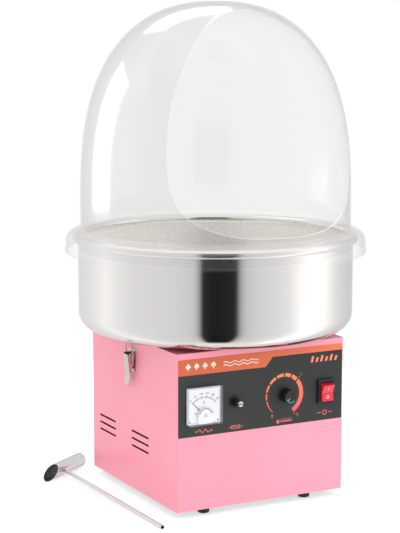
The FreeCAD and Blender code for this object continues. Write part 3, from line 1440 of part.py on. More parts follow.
def cable_gland():
    """Compression gland in the rear panel: body, hexagon and domed nut round the cable bore."""
    y_in, y_out = HALF_D - SHEET - GLAND_IN, HALF_D + GLAND_OUT
    body = peg(GLAND_R, GLAND_X, GLAND_Z, y_in, HALF_D)
    flange = hex_nut(GLAND_X, GLAND_Z, HALF_D, GLAND_FLANGE_T, GLAND_ACROSS, GLAND_BORE_R)
    nut = peg(GLAND_R + 1.5, GLAND_X, GLAND_Z, HALF_D + GLAND_FLANGE_T, y_out)
    nut = nut.makeFillet(4.0, [e for e in nut.Edges if e.BoundBox.YMin > y_out - 0.01])
    bore = peg(GLAND_BORE_R, GLAND_X, GLAND_Z, y_in - 1, y_out + 1)
    return fuse([body, flange, nut]).cut(bore)


def wiring_harness():
    """Wires from the terminal block to the switch, both studs of the meter and the control board."""
    floor_z = FLOOR_TOP + TERMINAL_WIRE_Z
    y0 = TERMINAL_Y[0] + TERMINAL_HOLE_DEPTH - 1
    to_board, _, to_meter_left, to_meter_right, _, to_switch = terminal_places()
    switch_y = LABEL_FACE_Y + SWITCH_BODY_DEPTH + TAB_LENGTH + 2
    meter_y = LABEL_FACE_Y + METER_CAN_LENGTH + METER_STUD_LENGTH + 2
    board_x = BOARD_X[1] - BOARD_WIRE_INSET
    board_z = BOARD_Z + BOARD_WIRE_UP
    routes = [
        [
            Vector(to_switch, y0, floor_z),
            Vector(to_switch, SWITCH_WIRE_Y, floor_z),
            Vector(to_switch, SWITCH_WIRE_Y, SWITCH_Z),
            Vector(to_switch, switch_y, SWITCH_Z),
        ],
        meter_route(to_meter_right, METER_X + METER_STUD_X, METER_WIRE_RIGHT_Y, y0, meter_y, floor_z),
        meter_route(to_meter_left, METER_X - METER_STUD_X, METER_WIRE_LEFT_Y, y0, meter_y, floor_z),
        [
            Vector(to_board, y0, floor_z),
            Vector(to_board, BOARD_WIRE_Y, floor_z),
            Vector(board_x, BOARD_WIRE_Y, floor_z),
            Vector(board_x, BOARD_WIRE_Y, board_z),
            Vector(board_x, BOARD_Y[0] + 3, board_z),
        ],
    ]
    return [bent_rod(route, WIRE_R, WIRE_BEND_R) for route in routes]


def meter_route(start_x, stud_x, across_y, y0, y1, floor_z):
    """Corner points of a wire that crosses the floor and climbs to one stud of the meter."""
    return [
        Vector(start_x, y0, floor_z),
        Vector(start_x, across_y, floor_z),
        Vector(stud_x, across_y, floor_z),
        Vector(stud_x, across_y, METER_Z),
        Vector(stud_x, y1, METER_Z),
    ]


# ---------------------------------------------------------------- nodes


def main():
    os.makedirs("parts", exist_ok=True)
    save("casing_wrap", drill(casing_wrap(), casing_flange_holes()))
    save("rear_panel", rear_panel())
    save("top_plate", top_plate())
    save("bottom_plate", bottom_plate())
    save("control_label", control_label())
    save("header_band", header_band())
    save("feet", *[foot(x, y) for x, y in foot_places()])
    foot_screws = [foot_screw(x, y) for x, y in foot_places()]
    save("casing_screws", *foot_screws, *[rear_screw(x, z) for x, z in REAR_SCREWS])

    save("voltmeter_case", voltmeter_case())
    save("voltmeter_cover", voltmeter_cover())
    save("voltmeter_dial", voltmeter_dial())
    save("voltmeter_hub", voltmeter_hub())
    save("voltmeter_needle", voltmeter_needle())
    save("fuse_holder", fuse_holder())
    save("fuse_cap", fuse_cap())
    save("fuse_tube", fuse_tube())
    save("temp_knob", temp_knob())
    save("knob_shaft", knob_shaft())
    save("potentiometer", potentiometer())
    save("panel_nuts", *panel_nuts())
    save("switch_frame", switch_frame())
    save("switch_rocker", switch_rocker())

    save("bowl", bowl())
    save("bowl_seal", bowl_seal())
    save("dome_cover", dome_cover())

    save("head_base", head_base())
    save("head_band", head_band())
    save("head_cap", head_cap())
    save("head_studs", *[head_stud(x, y) for x, y in stud_places()])
    save("heater_ring", heater_ring())
    save("drive_shaft", drive_shaft())
    save("shaft_coupling", shaft_coupling())
    save("slip_ring_hub", slip_ring_hub())
    save("slip_rings", *slip_rings())
    save("motor_armature", motor_armature())
    save("cooling_fan", cooling_fan())
    save("motor_housing", motor_housing())
    save("motor_stator", motor_stator())
    save("motor_bracket", motor_bracket())
    save("hanger_posts", *[hanger_post(x, y) for x, y in square_corners(POST_XY)])
    save("rubber_mounts", *[rubber_mount(x, y) for x, y in square_corners(POST_XY)])
    save("bearing_housing", bearing_housing())
    save("shaft_bearings", *[shaft_bearing(z) for z in BEARING_Z])
    save("brush_holder", brush_holder())
    save("carbon_brushes", *[carbon_brush(z) for z in RING_Z])
    save("brush_springs", *[brush_spring(z) for z in RING_Z])

    base, lever, bail, catch = latch_base(), latch_lever(), latch_bail(), bowl_catch()
    save("latch_bases", base, mirrored(base))
    save("latch_lever_left", lever)
    save("latch_lever_right", mirrored(lever))
    save("latch_bail_left", bail)
    save("latch_bail_right", mirrored(bail))
    save("bowl_catches", catch, mirrored(catch))
    fasteners = [latch_pin(), *[latch_rivet(z) for z in rivet_heights()]]
    save("latch_pins_and_rivets", *fasteners, *[mirrored(fastener) for fastener in fasteners])

    save("scoop_cup", scoop_cup())
    save("scoop_handle", scoop_handle())

    save("control_board", control_board())
    save("heatsink", heatsink())
    save("terminal_block", terminal_block())
    save("cable_gland", cable_gland())
    save("wiring_harness", *wiring_harness())


main()
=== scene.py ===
import json
import math

import bmesh
import bpy
from mathutils import Matrix, Vector


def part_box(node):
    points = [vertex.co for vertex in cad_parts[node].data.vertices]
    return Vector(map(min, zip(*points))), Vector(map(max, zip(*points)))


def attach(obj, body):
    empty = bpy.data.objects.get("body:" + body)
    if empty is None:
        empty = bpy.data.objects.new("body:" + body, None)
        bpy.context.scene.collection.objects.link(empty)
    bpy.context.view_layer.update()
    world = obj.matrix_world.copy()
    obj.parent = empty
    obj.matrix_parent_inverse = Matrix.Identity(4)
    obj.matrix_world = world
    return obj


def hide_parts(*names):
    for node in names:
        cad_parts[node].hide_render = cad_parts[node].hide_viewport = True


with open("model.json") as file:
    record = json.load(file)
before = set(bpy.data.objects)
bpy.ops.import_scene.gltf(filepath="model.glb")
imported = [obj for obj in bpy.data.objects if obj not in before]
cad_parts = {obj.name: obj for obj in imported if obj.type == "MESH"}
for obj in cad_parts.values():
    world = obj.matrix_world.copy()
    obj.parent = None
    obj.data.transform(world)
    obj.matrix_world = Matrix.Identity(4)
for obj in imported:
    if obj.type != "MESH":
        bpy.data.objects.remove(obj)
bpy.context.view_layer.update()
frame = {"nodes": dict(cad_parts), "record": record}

MM = 0.001
NODES = frame["nodes"]
SCENE = bpy.context.scene

# ---------------------------------------------------------------- camera and light

CAMERA_AZIMUTH = math.radians(-27.531)
CAMERA_PITCH = math.radians(81.3)
CAMERA_PLACE = (-1.4591, -2.6960, 0.8944)
CAMERA_SENSOR_MM = 36.0
CAMERA_LENS_MM = 110.12
CAMERA_SHIFT_X = 0.0183
CAMERA_REACH = 60.0


def make_camera():
    data = bpy.data.cameras.new("camera")
    data.sensor_width = CAMERA_SENSOR_MM
    data.lens = CAMERA_LENS_MM
    data.shift_x = CAMERA_SHIFT_X
    data.clip_end = CAMERA_REACH
    camera = bpy.data.objects.new("camera", data)
    camera.location = CAMERA_PLACE
    camera.rotation_euler = (CAMERA_PITCH, 0.0, CAMERA_AZIMUTH)
    SCENE.collection.objects.link(camera)
    SCENE.camera = camera


make_camera()


def look_at(obj, target):
    obj.rotation_euler = (Vector(target) - obj.location).to_track_quat("-Z", "Y").to_euler()


def area_light(name, place, target, size, power, glossy=False, only=None):
    """Soft rectangular lamp. With only, it lights just that object."""
    data = bpy.data.lights.new(name, "AREA")
    data.shape = "RECTANGLE"
    data.size, data.size_y = size
    data.energy = power
    lamp = bpy.data.objects.new(name, data)
    lamp.location = place
    look_at(lamp, target)
    lamp.visible_glossy = glossy
    lamp.visible_camera = False
    SCENE.collection.objects.link(lamp)
    if only is not None:
        group = bpy.data.collections.new(name + "_lit")
        group.objects.link(only)
        lamp.light_linking.receiver_collection = group


class Tree:
    """Short way to add and join shader nodes."""

    def __init__(self, tree):
        self.tree = tree

    def add(self, kind, inputs=None, **settings):
        node = self.tree.nodes.new(kind)
        for key, value in settings.items():
            setattr(node, key, value)
        for key, value in (inputs or {}).items():
            socket = node.inputs[key]
            if isinstance(value, bpy.types.NodeSocket):
                self.tree.links.new(value, socket)
            else:
                socket.default_value = value
        return node

    def math(self, operation, a, b=0.0, c=0.0, clamp=False):
        inputs = {0: a, 1: b, 2: c}
        return self.add("ShaderNodeMath", inputs, operation=operation, use_clamp=clamp).outputs[0]

    def remap(self, value, low, high, to_low, to_high):
        inputs = {"Value": value, "From Min": low, "From Max": high, "To Min": to_low, "To Max": to_high}
        return self.add("ShaderNodeMapRange", inputs, clamp=True).outputs["Result"]

    def mix_colour(self, factor, a, b):
        node = self.add("ShaderNodeMix", data_type="RGBA")
        for socket, value in ((node.inputs[0], factor), (node.inputs[6], a), (node.inputs[7], b)):
            if isinstance(value, bpy.types.NodeSocket):
                self.tree.links.new(value, socket)
            else:
                socket.default_value = value
        return node.outputs[2]


# Brightness of the studio's walls in reflections, by degrees from the direction that the camera looks from
ROOM_LEVELS = (
    (-180, 0.74), (-150, 0.84), (-128, 0.93), (-104, 1.12), (-88, 0.98), (-72, 0.88), (-45, 0.83),
    (-27, 0.78), (-18, 0.70), (-13.5, 0.40), (-11.5, 0.02), (0, 0.012), (16.5, 0.02), (19, 0.40),
    (24, 0.68), (34, 0.79), (50, 0.87), (62, 0.97), (74, 1.25), (84, 1.42), (96, 1.40), (106, 1.15),
    (118, 0.92), (132, 0.80), (150, 0.70), (180, 0.74),
)
ROOM_PEAK = 1.5
WALL_TINT = (1.0, 0.985, 0.97)
CEILING_COLOUR = (1.15, 1.14, 1.13, 1)
CEILING_START, CEILING_FULL = 0.42, 0.78
GROUND_COLOUR = (0.95, 0.94, 0.93, 1)
GROUND_FULL, GROUND_START = -0.975, -0.90
KEY_WAY = (0.70, -0.68, 0.2)
SOFT_LEVEL = 0.87
SOFT_KEY_GAIN = 0.12


def make_world():
    """White studio. Reflections see a grey room with two soft strips and one dark card behind the camera."""
    world = bpy.data.worlds.new("studio")
    SCENE.world = world
    world.use_nodes = True
    world.node_tree.nodes.clear()
    t = Tree(world.node_tree)
    way = t.add("ShaderNodeTexCoord").outputs["Generated"]
    axes = t.add("ShaderNodeSeparateXYZ", {0: way}).outputs
    turn = t.math("ARCTAN2", axes[1], axes[0])
    towards_camera = CAMERA_AZIMUTH - math.pi / 2
    turn = t.math("WRAP", t.math("SUBTRACT", turn, towards_camera), math.pi, -math.pi)
    share = t.remap(turn, -math.pi, math.pi, 0.0, 1.0)
    ramp = t.add("ShaderNodeValToRGB", {"Fac": share})
    elements = ramp.color_ramp.elements
    first_elements = len(elements)
    for place, (degrees, level) in enumerate(ROOM_LEVELS):
        where = (degrees + 180) / 360
        element = elements[place] if place < first_elements else elements.new(where)
        element.position = where
        element.color = tuple(level / ROOM_PEAK * tint for tint in WALL_TINT) + (1,)
    walls = {0: ramp.outputs["Color"], "Scale": ROOM_PEAK}
    room = t.add("ShaderNodeVectorMath", walls, operation="SCALE").outputs[0]
    high = t.remap(axes[2], CEILING_START, CEILING_FULL, 0.0, 1.0)
    low = t.remap(axes[2], GROUND_FULL, GROUND_START, 1.0, 0.0)
    room = t.mix_colour(high, room, CEILING_COLOUR)
    room = t.mix_colour(low, room, GROUND_COLOUR)
    rays = t.add("ShaderNodeLightPath").outputs
    key_side = t.add("ShaderNodeVectorMath", {0: way, 1: KEY_WAY}, operation="DOT_PRODUCT").outputs["Value"]
    level = t.math("MULTIPLY_ADD", key_side, SOFT_KEY_GAIN, SOFT_LEVEL)
    soft = t.add("ShaderNodeCombineColor", {0: level, 1: level, 2: level}).outputs[0]
    seen = t.mix_colour(rays["Is Glossy Ray"], soft, room)
    seen = t.mix_colour(rays["Is Camera Ray"], seen, (1, 1, 1, 1))
    back = t.add("ShaderNodeBackground", {"Color": seen})
    out = t.add("ShaderNodeOutputWorld")
    world.node_tree.links.new(back.outputs[0], out.inputs["Surface"])


make_world()
SCENE.view_settings.view_transform = "Standard"
SCENE.view_settings.look = "None"
SCENE.cycles.max_bounces = 20
SCENE.cycles.glossy_bounces = 12
SCENE.cycles.transparent_max_bounces = 24

# ---------------------------------------------------------------- materials


GRAIN_SHADE = 0.72
EDGE_LIGHT_SHADE = 1.6


def srgb(r, g, b):
    """Scene-linear colour from 8-bit values."""
    def linear(v):
        v /= 255.0
        return v / 12.92 if v <= 0.04045 else ((v + 0.055) / 1.055) ** 2.4
    return (linear(r), linear(g), linear(b), 1.0)


def shade(colour, factor):
    return tuple(min(1.0, c * factor) for c in colour[:3]) + (1.0,)


def new_material(name):
    material = bpy.data.materials.new(name)
    material.use_nodes = True
    tree = material.node_tree
    for node in list(tree.nodes):
        if node.type != "OUTPUT_MATERIAL":
            tree.nodes.remove(node)
    out = next(node for node in tree.nodes if node.type == "OUTPUT_MATERIAL")
    return material, Tree(tree), out


def object_points(t, stretch=(1, 1, 1)):
    place = t.add("ShaderNodeTexCoord").outputs["Object"]
    return t.add("ShaderNodeMapping", {"Vector": place, "Scale": stretch}).outputs[0]


def noise(t, points, scale, detail=4.0, roughness=0.55):
    inputs = {"Vector": points, "Scale": scale, "Detail": detail, "Roughness": roughness}
    return t.add("ShaderNodeTexNoise", inputs).outputs["Fac"]


def surface(name, colour, roughness, metallic=0.0, tint=0.05, blotch=22.0, grain=420.0, bump=0.08,
            bump_depth=0.0002, rough_spread=0.06, stretch=(1, 1, 1), coat=0.0, coat_roughness=0.1,
            specular=0.5, gradient=None, edge_lighten=0.0):
    """Principled surface with slow colour variation, fine grain in its roughness and a grain bump."""
    material, t, out = new_material(name)
    even = object_points(t)
    long = object_points(t, stretch)
    slow = noise(t, even, blotch)
    fine = noise(t, long, grain, 3.0)
    base = colour
    # gradient blends the colour along one axis: print on the temperature scale, painted side-to-side light
    # and shade on the casing and label panels.
    if gradient is not None:
        axis, low, high, other = gradient
        place = t.add("ShaderNodeSeparateXYZ", {0: even}).outputs[axis]
        base = t.mix_colour(t.remap(place, low, high, 0.0, 1.0), colour, other)
        base = t.mix_colour(t.remap(slow, 0.3, 0.7, 0.0, tint), base, (0, 0, 0, 1))
    else:
        patches = t.remap(slow, 0.3, 0.7, 0.0, 1.0)
        base = t.mix_colour(patches, shade(colour, 1 - tint), shade(colour, 1 + tint))
    base = t.mix_colour(t.remap(fine, 0.35, 0.65, 0.0, tint), base, shade(colour, GRAIN_SHADE))
    # Lightens the colour along sharp convex edges, found by pointiness and broken up by slow noise.
    if edge_lighten > 0:
        edge = t.add("ShaderNodeNewGeometry").outputs["Pointiness"]
        lighter_edges = t.math("MULTIPLY", t.remap(edge, 0.52, 0.62, 0.0, 1.0), t.remap(slow, 0.4, 0.6, 0.2, 1.0))
        base = t.mix_colour(t.math("MULTIPLY", lighter_edges, edge_lighten), base, shade(colour, EDGE_LIGHT_SHADE))
    rough = t.remap(fine, 0.3, 0.7, max(0.02, roughness - rough_spread), min(1.0, roughness + rough_spread))
    normal = t.add("ShaderNodeBump", {"Height": fine, "Strength": bump, "Distance": bump_depth}).outputs[0]
    shader = t.add("ShaderNodeBsdfPrincipled", {
        "Base Color": base, "Metallic": metallic, "Roughness": rough, "Normal": normal,
        "Coat Weight": coat, "Coat Roughness": coat_roughness, "Specular IOR Level": specular,
    })
    material.node_tree.links.new(shader.outputs[0], out.inputs["Surface"])
    return material


def clear(name, pass_colour, roughness=0.03, face_on=0.045, haze=0.0):
    """Clear moulded plastic: light passes with a slight loss, and reflections grow towards the edges."""
    material, t, out = new_material(name)
    facing = t.add("ShaderNodeLayerWeight", {"Blend": 0.5}).outputs["Facing"]
    grazing = t.math("POWER", facing, 5.0)
    mirror = t.math("MULTIPLY_ADD", grazing, 1 - face_on, face_on, clamp=True)
    through = t.add("ShaderNodeBsdfTransparent", {"Color": pass_colour})
    points = object_points(t)
    swirl = t.remap(noise(t, points, 60.0), 0.3, 0.7, roughness * 0.6, roughness * 1.4)
    gloss = t.add("ShaderNodeBsdfAnisotropic", {"Color": (1, 1, 1, 1), "Roughness": swirl})
    mixed = t.add("ShaderNodeMixShader", {0: mirror, 1: through.outputs[0], 2: gloss.outputs[0]})
    if haze > 0:
        milk = t.add("ShaderNodeBsdfDiffuse", {"Color": (0.95, 0.95, 0.95, 1)})
        amount = t.math("MULTIPLY", t.remap(noise(t, points, 9.0), 0.3, 0.7, 0.8, 1.2), haze)
        mixed = t.add("ShaderNodeMixShader", {0: amount, 1: mixed.outputs[0], 2: milk.outputs[0]})
    material.node_tree.links.new(mixed.outputs[0], out.inputs["Surface"])
    return material


def spun_steel(name, colour, roughness):
    """Mirror-like sheet steel with fine turning lines round the axis and faint upright streaks."""
    material, t, out = new_material(name)
    points = object_points(t)
    axes = t.add("ShaderNodeSeparateXYZ", {0: points}).outputs
    squares = [t.math("MULTIPLY", axes[k], axes[k]) for k in (0, 1)]
    radius = t.math("SQRT", t.math("ADD", *squares))
    angle = t.math("ARCTAN2", axes[1], axes[0])
    along = t.add("ShaderNodeCombineXYZ", {0: radius, 1: 0.0, 2: axes[2]}).outputs[0]
    unrolled = {0: t.math("MULTIPLY", angle, 0.26), 1: 0.0, 2: t.math("MULTIPLY", axes[2], 0.02)}
    round_about = t.add("ShaderNodeCombineXYZ", unrolled).outputs[0]
    lines = noise(t, along, 1500.0, 2.0)
    streaks = noise(t, round_about, 260.0, 5.0, 0.7)
    slow = noise(t, points, 6.0)
    base = t.mix_colour(t.remap(streaks, 0.3, 0.7, 0.0, 1.0), shade(colour, 0.985), shade(colour, 1.01))
    base = t.mix_colour(t.remap(lines, 0.3, 0.7, 0.0, 0.04), base, shade(colour, 0.8))
    rough = t.remap(streaks, 0.25, 0.75, roughness * 0.85, roughness * 1.15)
    rough = t.math("ADD", rough, t.remap(slow, 0.3, 0.7, 0.0, 0.015))
    height = t.math("ADD", t.math("MULTIPLY", lines, 0.6), t.math("MULTIPLY", streaks, 0.4))
    normal = t.add("ShaderNodeBump", {"Height": height, "Strength": 0.05, "Distance": 0.00008}).outputs[0]
    shader = t.add("ShaderNodeBsdfPrincipled", {
        "Base Color": base, "Metallic": 1.0, "Roughness": rough, "Normal": normal,
    })
    material.node_tree.links.new(shader.outputs[0], out.inputs["Surface"])
    return material


def printed_ink(name, colour, roughness=0.5, gradient=None):
    """Printed ink: flat pigment with a fine screen-print texture, with an optional blend along one axis."""
    return surface(name, colour, roughness, tint=0.03, blotch=60.0, grain=1400.0, bump=0.12,
                   bump_depth=0.00004, rough_spread=0.05, gradient=gradient)


def board_surface(name):
    """Circuit board with copper tracks under green lacquer."""
    material, t, out = new_material(name)
    points = object_points(t, (1, 1, 0.05))
    cells = t.add("ShaderNodeTexBrick", {"Vector": points, "Scale": 90.0, "Mortar Size": 0.03,
                                         "Color1": srgb(16, 74, 42), "Color2": srgb(20, 86, 50),
                                         "Mortar": srgb(64, 128, 72)})
    speck = noise(t, points, 900.0)
    base = t.mix_colour(t.remap(speck, 0.4, 0.6, 0.0, 0.15), cells.outputs["Color"], srgb(8, 40, 24))
    normal = t.add("ShaderNodeBump", {"Height": speck, "Strength": 0.1, "Distance": 0.0001}).outputs[0]
    rough = t.remap(speck, 0.3, 0.7, 0.3, 0.42)
    shader = t.add("ShaderNodeBsdfPrincipled", {"Base Color": base, "Roughness": rough, "Normal": normal})
    material.node_tree.links.new(shader.outputs[0], out.inputs["Surface"])
    return material


LABEL_LOW, LABEL_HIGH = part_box("control_label")

MATERIALS = {
    # pink_paint darkens from its right tone (at x 60 mm) towards the left side (x -170 mm): painted shade for
    # the left side getting less light.
    "pink_paint": surface("pink_paint", srgb(253, 152, 171), 0.36, tint=0.008, blotch=7.0, grain=520.0,
                          bump=0.05, bump_depth=0.00012, coat=0.25, coat_roughness=0.18, edge_lighten=0.12,
                          gradient=(0, -170 * MM, 60 * MM, srgb(253, 156, 176))),
    "zinc_sheet": surface("zinc_sheet", srgb(176, 178, 180), 0.42, metallic=1.0, tint=0.12, blotch=55.0),
    # panel_dark is a little lighter at the label's left end than at its right: painted light, a side-to-side
    # tone set by how light falls on the label.
    "panel_dark": surface("panel_dark", srgb(56, 61, 58), 0.5, tint=0.02, blotch=14.0, grain=1600.0,
                          bump=0.14, bump_depth=0.00005, specular=0.25,
                          gradient=(0, LABEL_LOW.x, LABEL_HIGH.x, srgb(54, 57, 56))),
    # panel_orange darkens towards the label's left end: painted shade where the band gets less light.
    "panel_orange": surface("panel_orange", srgb(206, 100, 64), 0.45, tint=0.02, blotch=14.0, grain=1600.0,
                            bump=0.12, bump_depth=0.00005, specular=0.35,
                            gradient=(0, LABEL_LOW.x, LABEL_HIGH.x, srgb(238, 122, 86))),
    "foot_rubber": surface("foot_rubber", srgb(38, 34, 34), 0.62, tint=0.15, grain=700.0, bump=0.3),
    "seal_rubber": surface("seal_rubber", srgb(46, 46, 47), 0.7, tint=0.12, grain=600.0, bump=0.3),
    "fastener_steel": surface("fastener_steel", srgb(196, 197, 200), 0.24, metallic=1.0, tint=0.06,
                              grain=900.0),
    "meter_white": surface("meter_white", srgb(244, 245, 249), 0.4, tint=0.01, grain=900.0, bump=0.05),
    "meter_clear": clear("meter_clear", (0.985, 0.985, 0.99, 1), 0.04, 0.05),
    "needle_black": surface("needle_black", srgb(24, 24, 26), 0.4, tint=0.1),
    "control_black": surface("control_black", srgb(27, 27, 25), 0.34, tint=0.12, grain=800.0, bump=0.12,
                             edge_lighten=0.4),
    "fuse_glass": clear("fuse_glass", (0.95, 0.96, 0.95, 1)),
    "rocker_red": surface("rocker_red", srgb(222, 38, 60), 0.27, tint=0.04, grain=700.0, bump=0.05,
                          coat=0.3),
    "bowl_steel": spun_steel("bowl_steel", (0.815, 0.808, 0.80, 1), 0.085),
    # bowl_inside is a near-white, half-metallic copy of the bowl's steel: its satin roughness is the real
    # finish, and its lighter colour is painted light for the light bouncing inside the bowl.
    "bowl_inside": surface("bowl_inside", srgb(253, 251, 248), 0.26, metallic=0.5, tint=0.012, blotch=9.0,
                           grain=900.0, bump=0.05, bump_depth=0.00006),
    "cover_skirt": clear("cover_skirt", (0.985, 0.985, 0.985, 1), 0.06, 0.06, 0.012),
    "cover_clear": clear("cover_clear", (0.951, 0.951, 0.951, 1), 0.1, 0.045),
    "head_aluminium": surface("head_aluminium", srgb(206, 207, 209), 0.3, metallic=1.0, tint=0.05,
                              grain=260.0, stretch=(1, 1, 14), bump=0.14),
    "shaft_steel": surface("shaft_steel", srgb(190, 191, 194), 0.2, metallic=1.0, tint=0.05,
                           stretch=(1, 1, 12)),
    "housing_iron": surface("housing_iron", srgb(70, 74, 80), 0.5, tint=0.12, grain=260.0, bump=0.3),
    "core_steel": surface("core_steel", srgb(120, 118, 116), 0.45, metallic=1.0, tint=0.1,
                          stretch=(1, 1, 30)),
    "insulator": surface("insulator", srgb(92, 50, 30), 0.45, tint=0.1, grain=500.0),
    "ring_brass": surface("ring_brass", srgb(214, 176, 104), 0.26, metallic=1.0, tint=0.08,
                          stretch=(1, 1, 10)),
    "carbon": surface("carbon", srgb(30, 30, 32), 0.7, tint=0.2, grain=1200.0, bump=0.3),
    "spring_steel": surface("spring_steel", srgb(170, 170, 174), 0.25, metallic=1.0, tint=0.05),
    "heater_sheath": surface("heater_sheath", srgb(110, 104, 98), 0.42, metallic=1.0, tint=0.2,
                             blotch=90.0),
    "fan_plastic": surface("fan_plastic", srgb(34, 36, 40), 0.45, tint=0.1, grain=500.0),
    "latch_steel": surface("latch_steel", srgb(214, 209, 203), 0.22, metallic=1.0, tint=0.07, blotch=120.0,
                           grain=900.0, bump=0.12),
    "board_green": board_surface("board_green"),
    "wire_pvc": surface("wire_pvc", srgb(168, 36, 34), 0.4, tint=0.08, grain=600.0),
    "scoop_steel": surface("scoop_steel", srgb(222, 222, 224), 0.13, metallic=1.0, tint=0.04, blotch=60.0,
                           grain=700.0, bump=0.05),
}

INK_SYMBOL = printed_ink("ink_symbol", srgb(226, 104, 100))
INK_WHITE = printed_ink("ink_white", srgb(255, 226, 212))
INK_ORANGE = printed_ink("ink_orange", srgb(255, 138, 100))
INK_BLACK = printed_ink("ink_black", srgb(52, 54, 60), 0.45)
# Grey for painted shade on the meter's rounded hub, not print.
HUB_SHADE_GREY = printed_ink("hub_painted_shade", srgb(140, 142, 148), 0.45)
SCALE_LOW_Z = 170 * MM
SCALE_HIGH_Z = 240 * MM
INK_SCALE = printed_ink("ink_scale", srgb(238, 78, 104), 0.4,
                        gradient=(2, SCALE_LOW_Z, SCALE_HIGH_Z, srgb(255, 136, 88)))
KNOB_BLUE = surface("knob_blue", srgb(40, 170, 205), 0.3, tint=0.08, grain=900.0, coat=0.3)
ROCKER_MARK = printed_ink("rocker_mark", srgb(255, 196, 196), 0.35)
# Opaque near-white on the opening's cut faces and on the window bead: painted highlight for the bright line
# of light along the clear edge.
EDGE_HIGHLIGHT_WHITE = surface("cut_edge_painted_highlight", srgb(252, 252, 252), 0.4, tint=0.01, grain=700.0, bump=0.2)
CHROME = surface("chrome", srgb(226, 227, 230), 0.1, metallic=1.0, tint=0.03, grain=900.0, bump=0.04)


def backdrop_paper(name):
    """Lit white paper: part of its brightness is its own, so that shadows on it stay pale."""
    material, t, out = new_material(name)
    fibre = noise(t, object_points(t), 40.0)
    base = t.mix_colour(fibre, (0.79, 0.79, 0.79, 1), (0.81, 0.81, 0.81, 1))
    paper = t.add("ShaderNodeBsdfDiffuse", {"Color": base})
    glow = t.add("ShaderNodeEmission", {"Color": (1, 1, 1, 1), "Strength": 0.5})
    both = t.add("ShaderNodeAddShader", {0: paper.outputs[0], 1: glow.outputs[0]})
    material.node_tree.links.new(both.outputs[0], out.inputs["Surface"])
    return material


FLOOR_PAINT = backdrop_paper("floor_paper")


def dress_nodes():
    """Gives every CAD node the material of its slot."""
    slots = {part["node"]: part["material_slot"] for part in frame["record"]["subparts"]}
    for name, node in NODES.items():
        material = MATERIALS[slots[name]]
        for place in range(len(node.data.materials)):
            node.data.materials[place] = material


dress_nodes()

# ---------------------------------------------------------------- mesh tools


SHARP_DEG = 32.0
ROUND_SHARP_DEG = 40.0
WELD = 1e-7


def finish_piece(name, bm, materials, body, sharp=SHARP_DEG):
    """Turns a bmesh into a smooth-shaded piece that rides on a body."""
    bmesh.ops.recalc_face_normals(bm, faces=bm.faces[:])
    mesh = bpy.data.meshes.new(name)
    bm.to_mesh(mesh)
    bm.free()
    for material in materials:
        mesh.materials.append(material)
    for polygon in mesh.polygons:
        polygon.use_smooth = True
    mesh.set_sharp_from_angle(angle=math.radians(sharp))
    piece = bpy.data.objects.new(name, mesh)
    SCENE.collection.objects.link(piece)
    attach(piece, body)
    return piece


def arc_points(centre, radius, start, end, count):
    """Points of an arc in a (radius, height) half-plane, in degrees from outwards towards up."""
    points = []
    for i in range(count + 1):
        angle = math.radians(start + (end - start) * i / count)
        points.append((centre[0] + radius * math.cos(angle), centre[1] + radius * math.sin(angle)))
    return points


def run_points(a, b, count):
    """Points strictly between two profile points."""
    return [(a[0] + (b[0] - a[0]) * i / count, a[1] + (b[1] - a[1]) * i / count) for i in range(1, count)]


def join_rings(bm, rings):
    """Closes a loop of rings, each with the same number of points, into a tube."""
    for i, here in enumerate(rings):
        there = rings[(i + 1) % len(rings)]
        count = len(here)
        for k in range(count):
            last = (k + 1) % count
            bm.faces.new((here[k], here[last], there[last], there[k]))


def lathe(bm, profile, steps, place=None):
    """Closed profile of (radius, height) turned about an axis. place maps a point to its position."""
    rings = []
    for i in range(steps):
        angle = 2 * math.pi * i / steps
        ring = []
        for radius, height in profile:
            point = Vector((radius * math.cos(angle), radius * math.sin(angle), height))
            ring.append(bm.verts.new(place @ point if place is not None else point))
        rings.append(ring)
    join_rings(bm, rings)
    bmesh.ops.remove_doubles(bm, verts=bm.verts[:], dist=WELD)
    return bm


def applied(piece):
    """Replaces a piece's mesh by what its modifiers make of it."""
    bpy.context.view_layer.update()
    graph = bpy.context.evaluated_depsgraph_get()
    mesh = bpy.data.meshes.new_from_object(piece.evaluated_get(graph))
    piece.modifiers.clear()
    old = piece.data
    piece.data = mesh
    bpy.data.meshes.remove(old)


def cut(piece, cutter_bm, materials):
    """Cuts a closed shape out of a piece. The cut faces take the last of the materials."""
    mesh = bpy.data.meshes.new("cutter")
    bmesh.ops.recalc_face_normals(cutter_bm, faces=cutter_bm.faces[:])
    for face in cutter_bm.faces:
        face.material_index = len(materials) - 1
    cutter_bm.to_mesh(mesh)
    cutter_bm.free()
    for material in materials:
        mesh.materials.append(material)
    cutter = bpy.data.objects.new("cutter", mesh)
    SCENE.collection.objects.link(cutter)
    modifier = piece.modifiers.new("cut", "BOOLEAN")
    modifier.operation = "DIFFERENCE"
    modifier.solver = "EXACT"
    modifier.object = cutter
    applied(piece)
    bpy.data.objects.remove(cutter)
    bpy.data.meshes.remove(mesh)
    for polygon in piece.data.polygons:
        polygon.use_smooth = True
    piece.data.set_sharp_from_angle(angle=math.radians(SHARP_DEG))


def slab(bm, outline, back, front):
    """Flat closed shape from an outline of (x, z) points, from one y to another."""
    near = [bm.verts.new((x, front, z)) for x, z in outline]
    far = [bm.verts.new((x, back, z)) for x, z in outline]
    bm.faces.new(near)
    bm.faces.new(list(reversed(far)))
    count = len(outline)
    for i in range(count):
        j = (i + 1) % count
        bm.faces.new((near[i], near[j], far[j], far[i]))


def rectangle(x0, z0, x1, z1):
    """Outline of an upright rectangle from one corner to the opposite one."""
    return [(x0, z0), (x1, z0), (x1, z1), (x0, z1)]


